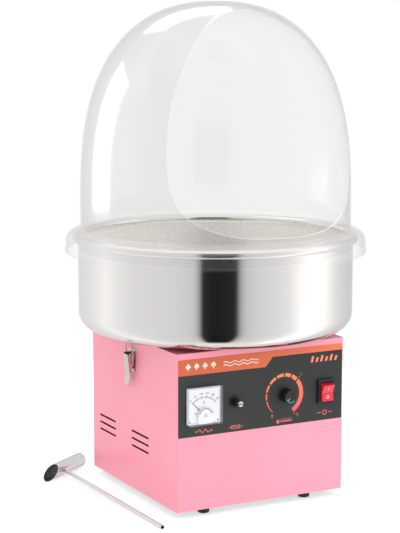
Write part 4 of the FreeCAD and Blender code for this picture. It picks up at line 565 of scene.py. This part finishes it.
def sector(cx, cz, inner, outer, start, end, inner_end=None, steps=10):
    """Outline of a piece of a ring, in degrees from +X towards +Z. The inner radius may change along it."""
    last = inner if inner_end is None else inner_end
    outline = []
    for i in range(steps + 1):
        angle = math.radians(start + (end - start) * i / steps)
        outline.append((cx + outer * math.cos(angle), cz + outer * math.sin(angle)))
    for i in range(steps, -1, -1):
        angle = math.radians(start + (end - start) * i / steps)
        radius = inner + (last - inner) * i / steps
        outline.append((cx + radius * math.cos(angle), cz + radius * math.sin(angle)))
    return outline


def disc_outline(cx, cz, radius, steps=28):
    """Outline of a disc as a regular polygon."""
    angles = [2 * math.pi * i / steps for i in range(steps)]
    return [(cx + radius * math.cos(angle), cz + radius * math.sin(angle)) for angle in angles]


def stroke(bm, points, width, back, front):
    """Line of even width along (x, z) points, with a joint of its own at each point."""
    half = width / 2
    left, right = [], []
    count = len(points)
    for i, (x, z) in enumerate(points):
        before = points[max(0, i - 1)]
        after = points[min(count - 1, i + 1)]
        dx, dz = after[0] - before[0], after[1] - before[1]
        length = math.hypot(dx, dz) or 1.0
        left.append((x - dz / length * half, z + dx / length * half))
        right.append((x + dz / length * half, z - dx / length * half))
    slab(bm, right + left[::-1], back, front)


def number(text, x, z, size, back, thickness):
    """Mesh of a number or unit sign that faces -Y, centred on a point."""
    curve = bpy.data.curves.new("figure", "FONT")
    curve.body = text
    curve.size = size
    curve.extrude = thickness / 2
    curve.align_x = "CENTER"
    curve.align_y = "CENTER"
    curve.resolution_u = 3
    source = bpy.data.objects.new("figure", curve)
    SCENE.collection.objects.link(source)
    bpy.context.view_layer.update()
    graph = bpy.context.evaluated_depsgraph_get()
    mesh = bpy.data.meshes.new_from_object(source.evaluated_get(graph))
    mesh.transform(Matrix.Translation((x, back - thickness / 2, z)) @ Matrix.Rotation(math.pi / 2, 4, "X"))
    bpy.data.objects.remove(source)
    bpy.data.curves.remove(curve)
    return mesh


def add_mesh(bm, mesh):
    bm.from_mesh(mesh)
    bpy.data.meshes.remove(mesh)


# ---------------------------------------------------------------- bowl

BOWL_R = 260 * MM
BOWL_T = 1.2 * MM
BOWL_CORNER = 34 * MM
BEAD_R = 8.5 * MM
BEAD_CENTRE_R = 262 * MM
COLLAR_R = 62 * MM
COLLAR_BEND = 6 * MM
COLLAR_H = 34 * MM
BOWL_STEPS = 288


def make_bowl():
    """Bowl turned from its section: collar, floor, round corner, wall and rolled bead, then back inside."""
    low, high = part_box("bowl")
    floor, rim = low.z, high.z
    collar_top = floor + COLLAR_H
    inside = BOWL_R - BOWL_T
    bead = (BEAD_CENTRE_R, rim - BEAD_R)
    corner = (BOWL_R - BOWL_CORNER, floor + BOWL_CORNER)
    bend = (COLLAR_R + COLLAR_BEND, floor + COLLAR_BEND)
    outer_deg = math.degrees(math.acos((BEAD_CENTRE_R - BOWL_R) / BEAD_R))
    inner_deg = math.degrees(math.acos((BEAD_CENTRE_R - inside) / BEAD_R))
    profile = [(COLLAR_R, collar_top)]
    profile += run_points((COLLAR_R, collar_top), (COLLAR_R, bend[1]), 4)
    profile += arc_points(bend, COLLAR_BEND, 180, 270, 8)
    profile += run_points((bend[0], floor), (corner[0], floor), 10)
    profile += arc_points(corner, BOWL_CORNER, -90, 0, 24)
    wall_top = bead[1] - BEAD_R * math.sin(math.radians(outer_deg))
    profile += run_points((BOWL_R, corner[1]), (BOWL_R, wall_top), 12)
    profile += arc_points(bead, BEAD_R, 180 + outer_deg, 540 + inner_deg, 44)
    inner_top = bead[1] - BEAD_R * math.sin(math.radians(inner_deg))
    profile += run_points((inside, inner_top), (inside, corner[1]), 12)
    profile += arc_points(corner, BOWL_CORNER - BOWL_T, 0, -90, 24)
    profile += run_points((corner[0], floor + BOWL_T), (bend[0], floor + BOWL_T), 10)
    profile += arc_points(bend, COLLAR_BEND - BOWL_T, 270, 180, 8)
    profile += run_points((COLLAR_R + BOWL_T, bend[1]), (COLLAR_R + BOWL_T, collar_top), 4)
    profile.append((COLLAR_R + BOWL_T, collar_top))
    bm = lathe(bmesh.new(), profile, BOWL_STEPS)
    # Inner faces take bowl_inside, the lighter copy of the steel that paints the light bouncing inside the
    # bowl.
    for face in bm.faces:
        middle = face.calc_center_median()
        radius = math.hypot(middle.x, middle.y)
        above_floor = middle.z > floor + BOWL_T * 0.9 and radius > COLLAR_R + 1.1 * MM
        under_bead = middle.z < bead[1] - 4 * MM
        if above_floor and under_bead and radius < corner[0] + BOWL_CORNER - BOWL_T * 0.9:
            off_corner = math.hypot(radius - corner[0], middle.z - corner[1])
            in_corner = radius > corner[0] and middle.z < corner[1]
            outside_corner = in_corner and off_corner > BOWL_CORNER - BOWL_T * 0.5
            face.material_index = 0 if outside_corner else 1
    materials = [MATERIALS["bowl_steel"], MATERIALS["bowl_inside"]]
    piece = finish_piece("bowl_shell", bm, materials, "root", ROUND_SHARP_DEG)
    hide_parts("bowl")


make_bowl()

# ---------------------------------------------------------------- cover

COVER_R = 255 * MM
COVER_T = 3 * MM
SHOULDER_Z = 535 * MM
RISE_POWER = 2.75
SPREAD_POWER = 2.35
DOME_POINTS = 56
COVER_STEPS = 224
FLANGE_GAP = 0.4 * MM
FLANGE_ROUND = 18 * MM
FLANGE_FILLET = 6 * MM
SKIRT_R = 283 * MM
LIP_R = 285 * MM
LIP_H = 5 * MM
LIP_SLOPE = 1 * MM
WINDOW_HALF_W = 187 * MM
WINDOW_Z = 640 * MM
WINDOW_UP = 267 * MM
WINDOW_DOWN = 130 * MM
ARCH_POWER = 2.0
SILL_POWER = 3.0
WINDOW_CUT_DEPTH = 320 * MM
SPLIT_RISE = 1 * MM


def dome_side(radius, top, count):
    """Profile of the dome from the top of its straight wall to the crown."""
    points = []
    for i in range(count + 1):
        share = math.sin(math.pi / 2 * i / count)
        spread = max(0.0, 1 - share**RISE_POWER) ** (1 / SPREAD_POWER)
        points.append((radius * spread, SHOULDER_Z + (top - SHOULDER_Z) * share))
    return points


def window_points(count):
    """Outline of the access opening as (x, z): an arch over a rounded sill."""
    outline = []
    for i in range(count):
        angle = 2 * math.pi * i / count
        c, s = math.cos(angle), math.sin(angle)
        power, height = (ARCH_POWER, WINDOW_UP) if s >= 0 else (SILL_POWER, WINDOW_DOWN)
        x = WINDOW_HALF_W * math.copysign(abs(c) ** (2 / power), c)
        z = WINDOW_Z + height * math.copysign(abs(s) ** (2 / power), s)
        outline.append((x, z))
    return outline


def split_below(piece, height, name):
    """Moves the faces under a height into a second piece, so that the dome alone takes the strip lamps."""
    parts = []
    for keep_low in (False, True):
        bm = bmesh.new()
        bm.from_mesh(piece.data)
        gone = [face for face in bm.faces if (face.calc_center_median().z < height) != keep_low]
        bmesh.ops.delete(bm, geom=gone, context="FACES")
        mesh = bpy.data.meshes.new(name)
        bm.to_mesh(mesh)
        bm.free()
        parts.append(mesh)
    materials = list(piece.data.materials)
    for mesh in parts:
        mesh.materials.clear()
        for material in materials:
            mesh.materials.append(material)
    piece.data = parts[0]
    parts[1].materials[0] = MATERIALS["cover_skirt"]
    low_piece = bpy.data.objects.new(name, parts[1])
    SCENE.collection.objects.link(low_piece)
    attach(low_piece, "cover")
    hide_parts("dome_cover")


def make_cover():
    """Dome, flange over the bowl's rim and skirt in one section, turned and cut for the access opening."""
    low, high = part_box("dome_cover")
    base, top = low.z, high.z
    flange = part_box("bowl")[1].z + FLANGE_GAP
    flange_top = flange + COVER_T
    inner_r = COVER_R - COVER_T
    corner = (SKIRT_R - FLANGE_ROUND, flange_top - FLANGE_ROUND)
    wall_foot = flange_top + FLANGE_FILLET
    skirt_in = SKIRT_R - COVER_T
    profile = dome_side(COVER_R, top, DOME_POINTS)[::-1]
    profile += run_points((COVER_R, SHOULDER_Z), (COVER_R, wall_foot), 4)
    profile += arc_points((COVER_R + FLANGE_FILLET, wall_foot), FLANGE_FILLET, 180, 270, 8)
    profile += arc_points(corner, FLANGE_ROUND, 90, 0, 16)
    profile += run_points((SKIRT_R, corner[1]), (SKIRT_R, base + LIP_H), 4)
    profile += [(SKIRT_R, base + LIP_H), (LIP_R, base + LIP_H - LIP_SLOPE), (LIP_R, base), (skirt_in, base)]
    profile += run_points((skirt_in, base), (skirt_in, corner[1]), 5)
    profile += arc_points(corner, FLANGE_ROUND - COVER_T, 0, 90, 16)
    profile += [(inner_r, flange)]
    profile += run_points((inner_r, flange), (inner_r, SHOULDER_Z), 5)
    profile += dome_side(inner_r, top - COVER_T, DOME_POINTS)
    bm = lathe(bmesh.new(), profile, COVER_STEPS)
    bmesh.ops.dissolve_degenerate(bm, edges=bm.edges[:], dist=1e-8)
    # The cut faces take the painted-highlight white.
    materials = [MATERIALS["cover_clear"], EDGE_HIGHLIGHT_WHITE]
    piece = finish_piece("cover_shell", bm, materials, "cover", ROUND_SHARP_DEG)
    hole = bmesh.new()
    slab(hole, window_points(180), 0.0, -WINDOW_CUT_DEPTH)
    cut(piece, hole, materials)
    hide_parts("dome_cover")
    split_below(piece, wall_foot + SPLIT_RISE, "cover_skirt")
    return piece


COVER = make_cover()

BEAD_SIDES = 6
BEAD_HALF_W = 0.4 * MM
BEAD_HALF_DEPTH = 3.5 * BEAD_HALF_W
BEAD_SHARP_DEG = 60.0


def make_cover_bead():
    """Bead along the fire-polished front corner of the access opening: its white is painted highlight for the
    bright line of light along that clear edge.
    """
    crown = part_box("dome_cover")[1].z
    points = []
    for x, z in window_points(240):
        share = max(0.0, (z - SHOULDER_Z) / (crown - SHOULDER_Z))
        radius = COVER_R * max(0.0, 1 - share**RISE_POWER) ** (1 / SPREAD_POWER)
        radius -= COVER_T / 2
        if radius > abs(x):
            points.append(Vector((x, -math.sqrt(radius * radius - x * x), z)))
    bm = bmesh.new()
    rings = []
    for i, point in enumerate(points):
        run = (points[(i + 1) % len(points)] - points[i - 1]).normalized()
        across = run.cross(Vector((0, 1, 0))).normalized()
        deep = run.cross(across).normalized()
        ring = []
        for k in range(BEAD_SIDES):
            angle = 2 * math.pi * k / BEAD_SIDES
            offset = across * math.cos(angle) * BEAD_HALF_W + deep * math.sin(angle) * BEAD_HALF_DEPTH
            ring.append(bm.verts.new(point + offset))
        rings.append(ring)
    join_rings(bm, rings)
    finish_piece("cover_window_highlight_bead", bm, [EDGE_HIGHLIGHT_WHITE], "cover", BEAD_SHARP_DEG)


make_cover_bead()

# ---------------------------------------------------------------- panel graphics

FACE_Y = LABEL_LOW.y
INK_T = 0.12 * MM
SINK = 0.02 * MM


def ink(name, material, draw):
    """One printed piece on the label: draw(bm, back, front) fills it."""
    bm = bmesh.new()
    draw(bm, FACE_Y + SINK, FACE_Y - INK_T)
    finish_piece(name, bm, [material], "root")


KNOB_LOW, KNOB_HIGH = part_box("temp_knob")
KNOB_X = (KNOB_LOW.x + KNOB_HIGH.x) / 2
KNOB_Z = (KNOB_LOW.z + KNOB_HIGH.z) / 2
SCALE_R = 40 * MM
SCALE_START = 231.0
SCALE_END = -60.6
SCALE_GAPS = (193.0, 171.0, 146.0, 118.0, 90.5, 67.0, 44.0)
SCALE_GAP_HALF = 2.2
SCALE_STEP = 30
SCALE_WIDTHS_MM = ((231.0, 1.3), (180.0, 3.0), (90.0, 6.3), (0.0, 8.7), (-61.0, 8.7))
SCALE_FIGURES = (("0", 236.0, 46.5), ("1", 45.0, 50.0), ("9", -56.0, 50.0))
SCALE_TICKS = (44.0, -60.0)


def scale_thickness(degrees):
    """The scale grows from a thin line to a broad band."""
    for (a, low), (b, high) in zip(SCALE_WIDTHS_MM, SCALE_WIDTHS_MM[1:]):
        if b <= degrees <= a:
            return (low + (high - low) * (a - degrees) / (a - b)) * MM
    return SCALE_WIDTHS_MM[0][1] * MM


def draw_scale(bm, back, front):
    """Ring of bands round the knob, with a gap at each mark."""
    edges = [SCALE_START, *SCALE_GAPS, SCALE_END]
    for i, (a, b) in enumerate(zip(edges, edges[1:])):
        start = a - (SCALE_GAP_HALF if i else 0)
        end = b + (SCALE_GAP_HALF if i < len(edges) - 2 else 0)
        parts = max(1, round((start - end) / SCALE_STEP))
        for k in range(parts):
            s = start + (end - start) * k / parts
            e = start + (end - start) * (k + 1) / parts
            outline = sector(KNOB_X, KNOB_Z, SCALE_R - scale_thickness(s), SCALE_R, s, e,
                             SCALE_R - scale_thickness(e), 12)
            slab(bm, outline, back, front)


ink("temperature_scale", INK_SCALE, draw_scale)


def knob_point(degrees, reach):
    """Point around the knob's axis, in degrees from +X towards +Z and millimetres out."""
    angle = math.radians(degrees)
    return KNOB_X + reach * MM * math.cos(angle), KNOB_Z + reach * MM * math.sin(angle)


def draw_scale_numbers(bm, back, front):
    """Three figures beside the scale and a short line at two of them."""
    for text, degrees, reach in SCALE_FIGURES:
        add_mesh(bm, number(text, *knob_point(degrees, reach), 9.0 * MM, back, back - front))
    for degrees in SCALE_TICKS:
        points = [knob_point(degrees, reach) for reach in (41.5, 45.5)]
        stroke(bm, points, 0.8 * MM, back, front)


ink("temperature_numbers", INK_SYMBOL, draw_scale_numbers)

SYMBOL_Z = 159.5 * MM


def centre_of(node):
    """Middle of a node's box as (x, z)."""
    low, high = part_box(node)
    return (low.x + high.x) / 2, (low.z + high.z) / 2


def draw_wave(bm, back, front):
    """Two waves between two dots, under the meter."""
    x = centre_of("voltmeter_cover")[0] + 2 * MM
    points = []
    for i in range(41):
        share = i / 40
        rise = 2.8 * MM * math.sin(4 * math.pi * share)
        points.append((x + (share - 0.5) * 24 * MM, SYMBOL_Z + rise))
    stroke(bm, points, 1.5 * MM, back, front)
    for side in (-1, 1):
        slab(bm, disc_outline(x + side * 15.5 * MM, SYMBOL_Z, 1.8 * MM), back, front)


def draw_fuse(bm, back, front):
    """Cartridge with a lead at each end and a wavy wire inside."""
    x = centre_of("fuse_holder")[0] + 2 * MM
    z = SYMBOL_Z
    w, h, t = 9.0 * MM, 3.2 * MM, 1.2 * MM
    lead = 5 * MM
    for z0, z1 in ((z - h, z - h + t), (z + h - t, z + h)):
        slab(bm, rectangle(x - w, z0, x + w, z1), back, front)
    for x0, x1 in ((x - w, x - w + t), (x + w - t, x + w)):
        slab(bm, rectangle(x0, z - h + t, x1, z + h - t), back, front)
    for x0, x1 in ((x - w - lead, x - w), (x + w, x + w + lead)):
        slab(bm, rectangle(x0, z - t / 2, x1, z + t / 2), back, front)
    points = []
    for i in range(21):
        share = i / 20
        points.append((x - w + t + (2 * w - 2 * t) * share, z + 0.9 * MM * math.sin(2 * math.pi * share)))
    stroke(bm, points, 1.0 * MM, back, front)


def draw_thermometer(bm, back, front):
    """Lying thermometer with a bulb and ticks, under the knob."""
    x, z = KNOB_X + 1 * MM, SYMBOL_Z - 1.0 * MM
    stroke(bm, [(x - 13 * MM, z), (x - 2 * MM, z), (x + 15 * MM, z)], 2.4 * MM, back, front)
    slab(bm, disc_outline(x - 14.5 * MM, z, 3.6 * MM), back, front)
    slab(bm, disc_outline(x + 15 * MM, z, 1.2 * MM), back, front)
    for i in range(8):
        at = x - 8 * MM + i * 3.1 * MM
        stroke(bm, [(at, z + 2.3 * MM), (at, z + (5.6 if i % 2 else 4.4) * MM)], 1.0 * MM, back, front)


def draw_power(bm, back, front):
    """Broken ring with a line through its gap, under the switch."""
    x = centre_of("switch_frame")[0]
    z = SYMBOL_Z + 6.0 * MM
    slab(bm, sector(x, z, 3.6 * MM, 5.1 * MM, 125, 415, steps=30), back, front)
    stroke(bm, [(x, z + 1.2 * MM), (x, z + 6.2 * MM)], 1.4 * MM, back, front)
    for side in (-1, 1):
        stroke(bm, [(x + side * 8 * MM, z), (x + side * 16 * MM, z)], 1.4 * MM, back, front)


ink("voltmeter_symbol", INK_SYMBOL, draw_wave)
ink("fuse_symbol", INK_SYMBOL, draw_fuse)
ink("temperature_symbol", INK_SYMBOL, draw_thermometer)
ink("power_symbol", INK_SYMBOL, draw_power)


def cone_icon(bm, x, z, size, back, front):
    """Floss on a stick: a cloud of overlapping discs over a narrow point. No two discs share a face plane."""
    lobes = ((-0.28, 0.14, 0.28), (0.28, 0.14, 0.28), (0.0, 0.44, 0.32), (0.0, 0.1, 0.24))
    for layer, (dx, dz, r) in enumerate(lobes):
        outline = disc_outline(x + dx * size, z + dz * size, r * size, 20)
        slab(bm, outline, back, front - layer * 0.012 * MM)
    stick = [(x - 0.2 * size, z - 0.1 * size), (x, z - 0.72 * size), (x + 0.2 * size, z - 0.1 * size)]
    slab(bm, stick, back, front)


HEADER_Z = 278 * MM
ICON_COUNT = 4
ICON_START, ICON_STEP = 20, 17
WAVE_START, WAVE_LENGTH, WAVE_STEPS = 92, 72, 64
WAVE_H = 1.5 * MM


def draw_header(bm, back, front):
    """Floss icons and two waves along the orange band."""
    left = LABEL_LOW.x
    for i in range(ICON_COUNT):
        cone_icon(bm, left + (ICON_START + i * ICON_STEP) * MM, HEADER_Z, 9.0 * MM, back, front)
    for row in (-2.8, 2.8):
        points = []
        for i in range(WAVE_STEPS + 1):
            x = left + (WAVE_START + WAVE_LENGTH * i / WAVE_STEPS) * MM
            points.append((x, HEADER_Z + row * MM + WAVE_H * math.sin(2 * math.pi * i / 16)))
        stroke(bm, points, 1.5 * MM, back, front)


ink("header_pattern", INK_WHITE, draw_header)

BAR_COUNT = 6
BAR_START, BAR_STEP = 103, 10.2
BAR_W = 4.8 * MM
BAR_LEAN = 3.0 * MM
BAR_LOW_Z, BAR_HIGH_Z = 263.0 * MM, 274.5 * MM
BAR_DROP = 3.2 * MM


def draw_bars(bm, back, front):
    """Slanted bars, every second one shorter."""
    for i in range(BAR_COUNT):
        x = (BAR_START + i * BAR_STEP) * MM
        top = BAR_HIGH_Z if i % 2 == 0 else BAR_HIGH_Z - BAR_DROP
        outline = [(x, BAR_LOW_Z), (x + BAR_W, BAR_LOW_Z), (x + BAR_W + BAR_LEAN, top), (x + BAR_LEAN, top)]
        slab(bm, outline, back, front)


ink("accent_bars", INK_ORANGE, draw_bars)

# ---------------------------------------------------------------- voltmeter

METER_X, METER_Z = centre_of("voltmeter_cover")
PIVOT_Z = METER_Z - 17 * MM
DIAL_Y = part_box("voltmeter_dial")[0].y
HUB_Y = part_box("voltmeter_hub")[0].y
DIAL_HALF_SWING = 45
DIAL_DIVISIONS = 30
DIAL_LONG_EVERY = 6
DIAL_ARC_R = 32.5
DIAL_LONG_TICK = (29.0, 35.2)
DIAL_SHORT_TICK = (30.6, DIAL_ARC_R)
DIAL_FIGURE_R = 39.2
DIAL_FIGURES = ("0", "50", "100", "150", "200", "250")
DIAL_FRAME = 31.2 * MM


def dial_point(degrees, radius):
    """Point on the dial, with degrees counted from upright, clockwise."""
    angle = math.radians(degrees)
    return METER_X + radius * MM * math.sin(angle), PIVOT_Z + radius * MM * math.cos(angle)


def make_dial_marks():
    """Printed scale of the meter: arc, ticks, figures, unit sign and a thin frame."""
    bm = bmesh.new()
    back, front = DIAL_Y + SINK, DIAL_Y - 0.1 * MM
    swing = 2 * DIAL_HALF_SWING
    arc = [dial_point(-DIAL_HALF_SWING + swing * i / 48, DIAL_ARC_R) for i in range(49)]
    stroke(bm, arc, 0.55 * MM, back, front)
    for i in range(DIAL_DIVISIONS + 1):
        degrees = -DIAL_HALF_SWING + swing * i / DIAL_DIVISIONS
        long_tick = i % DIAL_LONG_EVERY == 0
        reach, width = (DIAL_LONG_TICK, 0.75 * MM) if long_tick else (DIAL_SHORT_TICK, 0.38 * MM)
        stroke(bm, [dial_point(degrees, radius) for radius in reach], width, back, front)
    for i, text in enumerate(DIAL_FIGURES):
        x, z = dial_point(-DIAL_HALF_SWING + swing * i / (len(DIAL_FIGURES) - 1), DIAL_FIGURE_R)
        add_mesh(bm, number(text, x, z, 5.2 * MM, back, back - front))
    add_mesh(bm, number("V", METER_X, PIVOT_Z + 22.5 * MM, 8.5 * MM, back, back - front))
    for side in (-1, 1):
        slab(bm, disc_outline(METER_X + side * 17.5 * MM, PIVOT_Z + 4 * MM, 1.1 * MM), back, front)
        slab(bm, disc_outline(METER_X + side * 28.5 * MM, METER_Z - 28.5 * MM, 1.4 * MM), back, front)
    for side in (-1, 1):
        x0 = METER_X + side * DIAL_FRAME
        stroke(bm, [(x0, METER_Z - DIAL_FRAME), (x0, METER_Z + DIAL_FRAME)], 0.4 * MM, back, front)
        z0 = METER_Z + side * DIAL_FRAME
        stroke(bm, [(METER_X - DIAL_FRAME, z0), (METER_X + DIAL_FRAME, z0)], 0.4 * MM, back, front)
    finish_piece("dial_marks", bm, [INK_BLACK], "root")


def make_hub_trim():
    """Grey crescent over the meter's hub, painted shade on its rounded clear edge, and its zero screw."""
    back, front = HUB_Y + SINK, HUB_Y - 0.25 * MM
    bm = bmesh.new()
    slab(bm, sector(METER_X, PIVOT_Z, 11.6 * MM, 13.4 * MM, 12, 168, steps=30), back, front)
    finish_piece("hub_shade_crescent", bm, [HUB_SHADE_GREY], "root")
    bm = bmesh.new()
    place = Matrix.Translation((METER_X, HUB_Y, PIVOT_Z)) @ Matrix.Rotation(math.pi / 2, 4, "X")
    profile = [(0, 0), (3.4 * MM, 0), (3.4 * MM, 0.25 * MM), (3.1 * MM, 0.5 * MM), (0, 0.5 * MM)]
    lathe(bm, profile, 32, place)
    piece = finish_piece("zero_screw", bm, [CHROME], "root")
    slot = bmesh.new()
    reach, half = 4 * MM, 0.4 * MM
    outline = rectangle(METER_X - reach, PIVOT_Z - half, METER_X + reach, PIVOT_Z + half)
    slab(slot, outline, HUB_Y - 0.2 * MM, HUB_Y - 2 * MM)
    cut(piece, slot, [CHROME])


make_dial_marks()
make_hub_trim()

# ---------------------------------------------------------------- fuse cap, knob and rocker trim

CAP_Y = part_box("fuse_cap")[0].y
CAP_X, CAP_Z = centre_of("fuse_cap")
TIP_LENGTH = 5.0 * MM
TIP_R = 5.35 * MM
TIP_ROUND = 1.7 * MM
TIP_EDGE = 1.6 * MM
TIP_RIDGES = 24
TIP_RIPPLE = 0.018


def make_fuse_tip():
    """Plated crown over the tip of the fuse cap, knurled and slotted."""
    bm = bmesh.new()
    place = Matrix.Translation((CAP_X, CAP_Y, CAP_Z)) @ Matrix.Rotation(math.pi / 2, 4, "X")
    profile = [(0, -TIP_LENGTH), (TIP_R, -TIP_LENGTH), (TIP_R, -TIP_EDGE)]
    profile += arc_points((TIP_R - TIP_ROUND, -TIP_EDGE), TIP_ROUND, 0, 90, 6)
    profile.append((0, 0.1 * MM))
    lathe(bm, profile, 96, place)
    for vert in bm.verts:
        dx, dz = vert.co.x - CAP_X, vert.co.z - CAP_Z
        if math.hypot(dx, dz) > TIP_R * 0.9 and vert.co.y > CAP_Y + 1.0 * MM:
            ripple = 1 + TIP_RIPPLE * math.cos(TIP_RIDGES * math.atan2(dz, dx))
            vert.co.x = CAP_X + dx * ripple
            vert.co.z = CAP_Z + dz * ripple
    piece = finish_piece("fuse_cap_tip", bm, [CHROME], "fuse_carrier")
    slot = bmesh.new()
    reach, half = 6 * MM, 0.8 * MM
    outline = rectangle(CAP_X - reach, CAP_Z - half, CAP_X + reach, CAP_Z + half)
    slab(slot, outline, CAP_Y + 1.7 * MM, CAP_Y - 2 * MM)
    cut(piece, slot, [CHROME])


make_fuse_tip()


KNOB_POINTER_DEG = 230
KNOB_ARC_R = (9.8 * MM, 10.9 * MM)
KNOB_ARC_DEG = (196, 312)


def make_knob_trim():
    """Blue arc on the knob's face along its lower edge, and the paint in its pointer groove."""
    face = KNOB_LOW.y
    bm = bmesh.new()
    arc = sector(KNOB_X, KNOB_Z, *KNOB_ARC_R, *KNOB_ARC_DEG, steps=30)
    slab(bm, arc, face + SINK, face - 0.15 * MM)
    finish_piece("knob_blue_arc", bm, [KNOB_BLUE], "knob")
    bm = bmesh.new()
    points = [knob_point(KNOB_POINTER_DEG, reach) for reach in (3.4, 6.2, 9.0)]
    stroke(bm, points, 1.0 * MM, face + 0.55 * MM, face + 0.1 * MM)
    finish_piece("knob_pointer_paint", bm, [ROCKER_MARK], "knob")


make_knob_trim()

SWITCH_X, SWITCH_Z = centre_of("switch_frame")
ROCKER_TILT = math.radians(9.0)
ROCKER_HALF_H = 15.5 * MM
ROCKER_CREST = 17 * MM
ROCKER_DIP = 12.5 * MM


def make_rocker_marks():
    """Line and ring on the two sloping faces of the rocker."""
    pivot = Vector((SWITCH_X, LABEL_LOW.y + 2 * MM, SWITCH_Z))
    tilt = Matrix.Translation(pivot) @ Matrix.Rotation(ROCKER_TILT, 4, "X")
    slope = math.atan2(ROCKER_CREST - ROCKER_DIP, ROCKER_HALF_H)
    line = [rectangle(-0.6 * MM, -3 * MM, 0.6 * MM, 3 * MM)]
    ring = [sector(0, 0, 2.1 * MM, 3.3 * MM, start, start + 180, steps=20) for start in (0, 180)]
    for name, side, outlines in (("rocker_line_mark", 1, line), ("rocker_ring_mark", -1, ring)):
        middle = Vector((0, -(ROCKER_CREST + ROCKER_DIP) / 2, side * ROCKER_HALF_H / 2))
        face = Matrix.Translation(middle) @ Matrix.Rotation(side * slope, 4, "X")
        bm = bmesh.new()
        for outline in outlines:
            slab(bm, outline, SINK, -INK_T)
        bm.transform(tilt @ face)
        finish_piece(name, bm, [ROCKER_MARK], "rocker")


make_rocker_marks()

# ---------------------------------------------------------------- floor and lamps

FLOOR_R = 1.2
FLOOR_DROP = 0.2 * MM


def make_floor():
    bm = bmesh.new()
    bmesh.ops.create_circle(bm, cap_ends=True, segments=96, radius=FLOOR_R)
    mesh = bpy.data.meshes.new("floor")
    bm.to_mesh(mesh)
    bm.free()
    mesh.materials.append(FLOOR_PAINT)
    floor = bpy.data.objects.new("floor", mesh)
    floor.location.z = -FLOOR_DROP
    SCENE.collection.objects.link(floor)
    floor.visible_glossy = False


make_floor()


def around(azimuth, distance, height):
    """Place at an angle from the camera's side of the object, positive to the camera's right."""
    angle = CAMERA_AZIMUTH - math.pi / 2 + math.radians(azimuth)
    return (distance * math.cos(angle), distance * math.sin(angle), height)


area_light("key", around(38, 3.2, 2.2), (0, 0, 0.3), (2.6, 2.2), 24.0)
area_light("fill", around(-50, 3.4, 2.4), (0, 0, 0.3), (2.6, 2.2), 3.0)
area_light("top", (0.0, 0.0, 3.4), (0, 0, 0), (3.0, 3.0), 22.0)
area_light("cover_strip", around(-109.5, 2.45, 1.10), (-0.2, 0, 0.75), (1.2, 1.69), 17.5, True, COVER)
area_light("cover_crown", around(-160, 1.2, 2.2), (-0.1, 0, 0.88), (1.3, 0.62), 7.2, True, COVER)
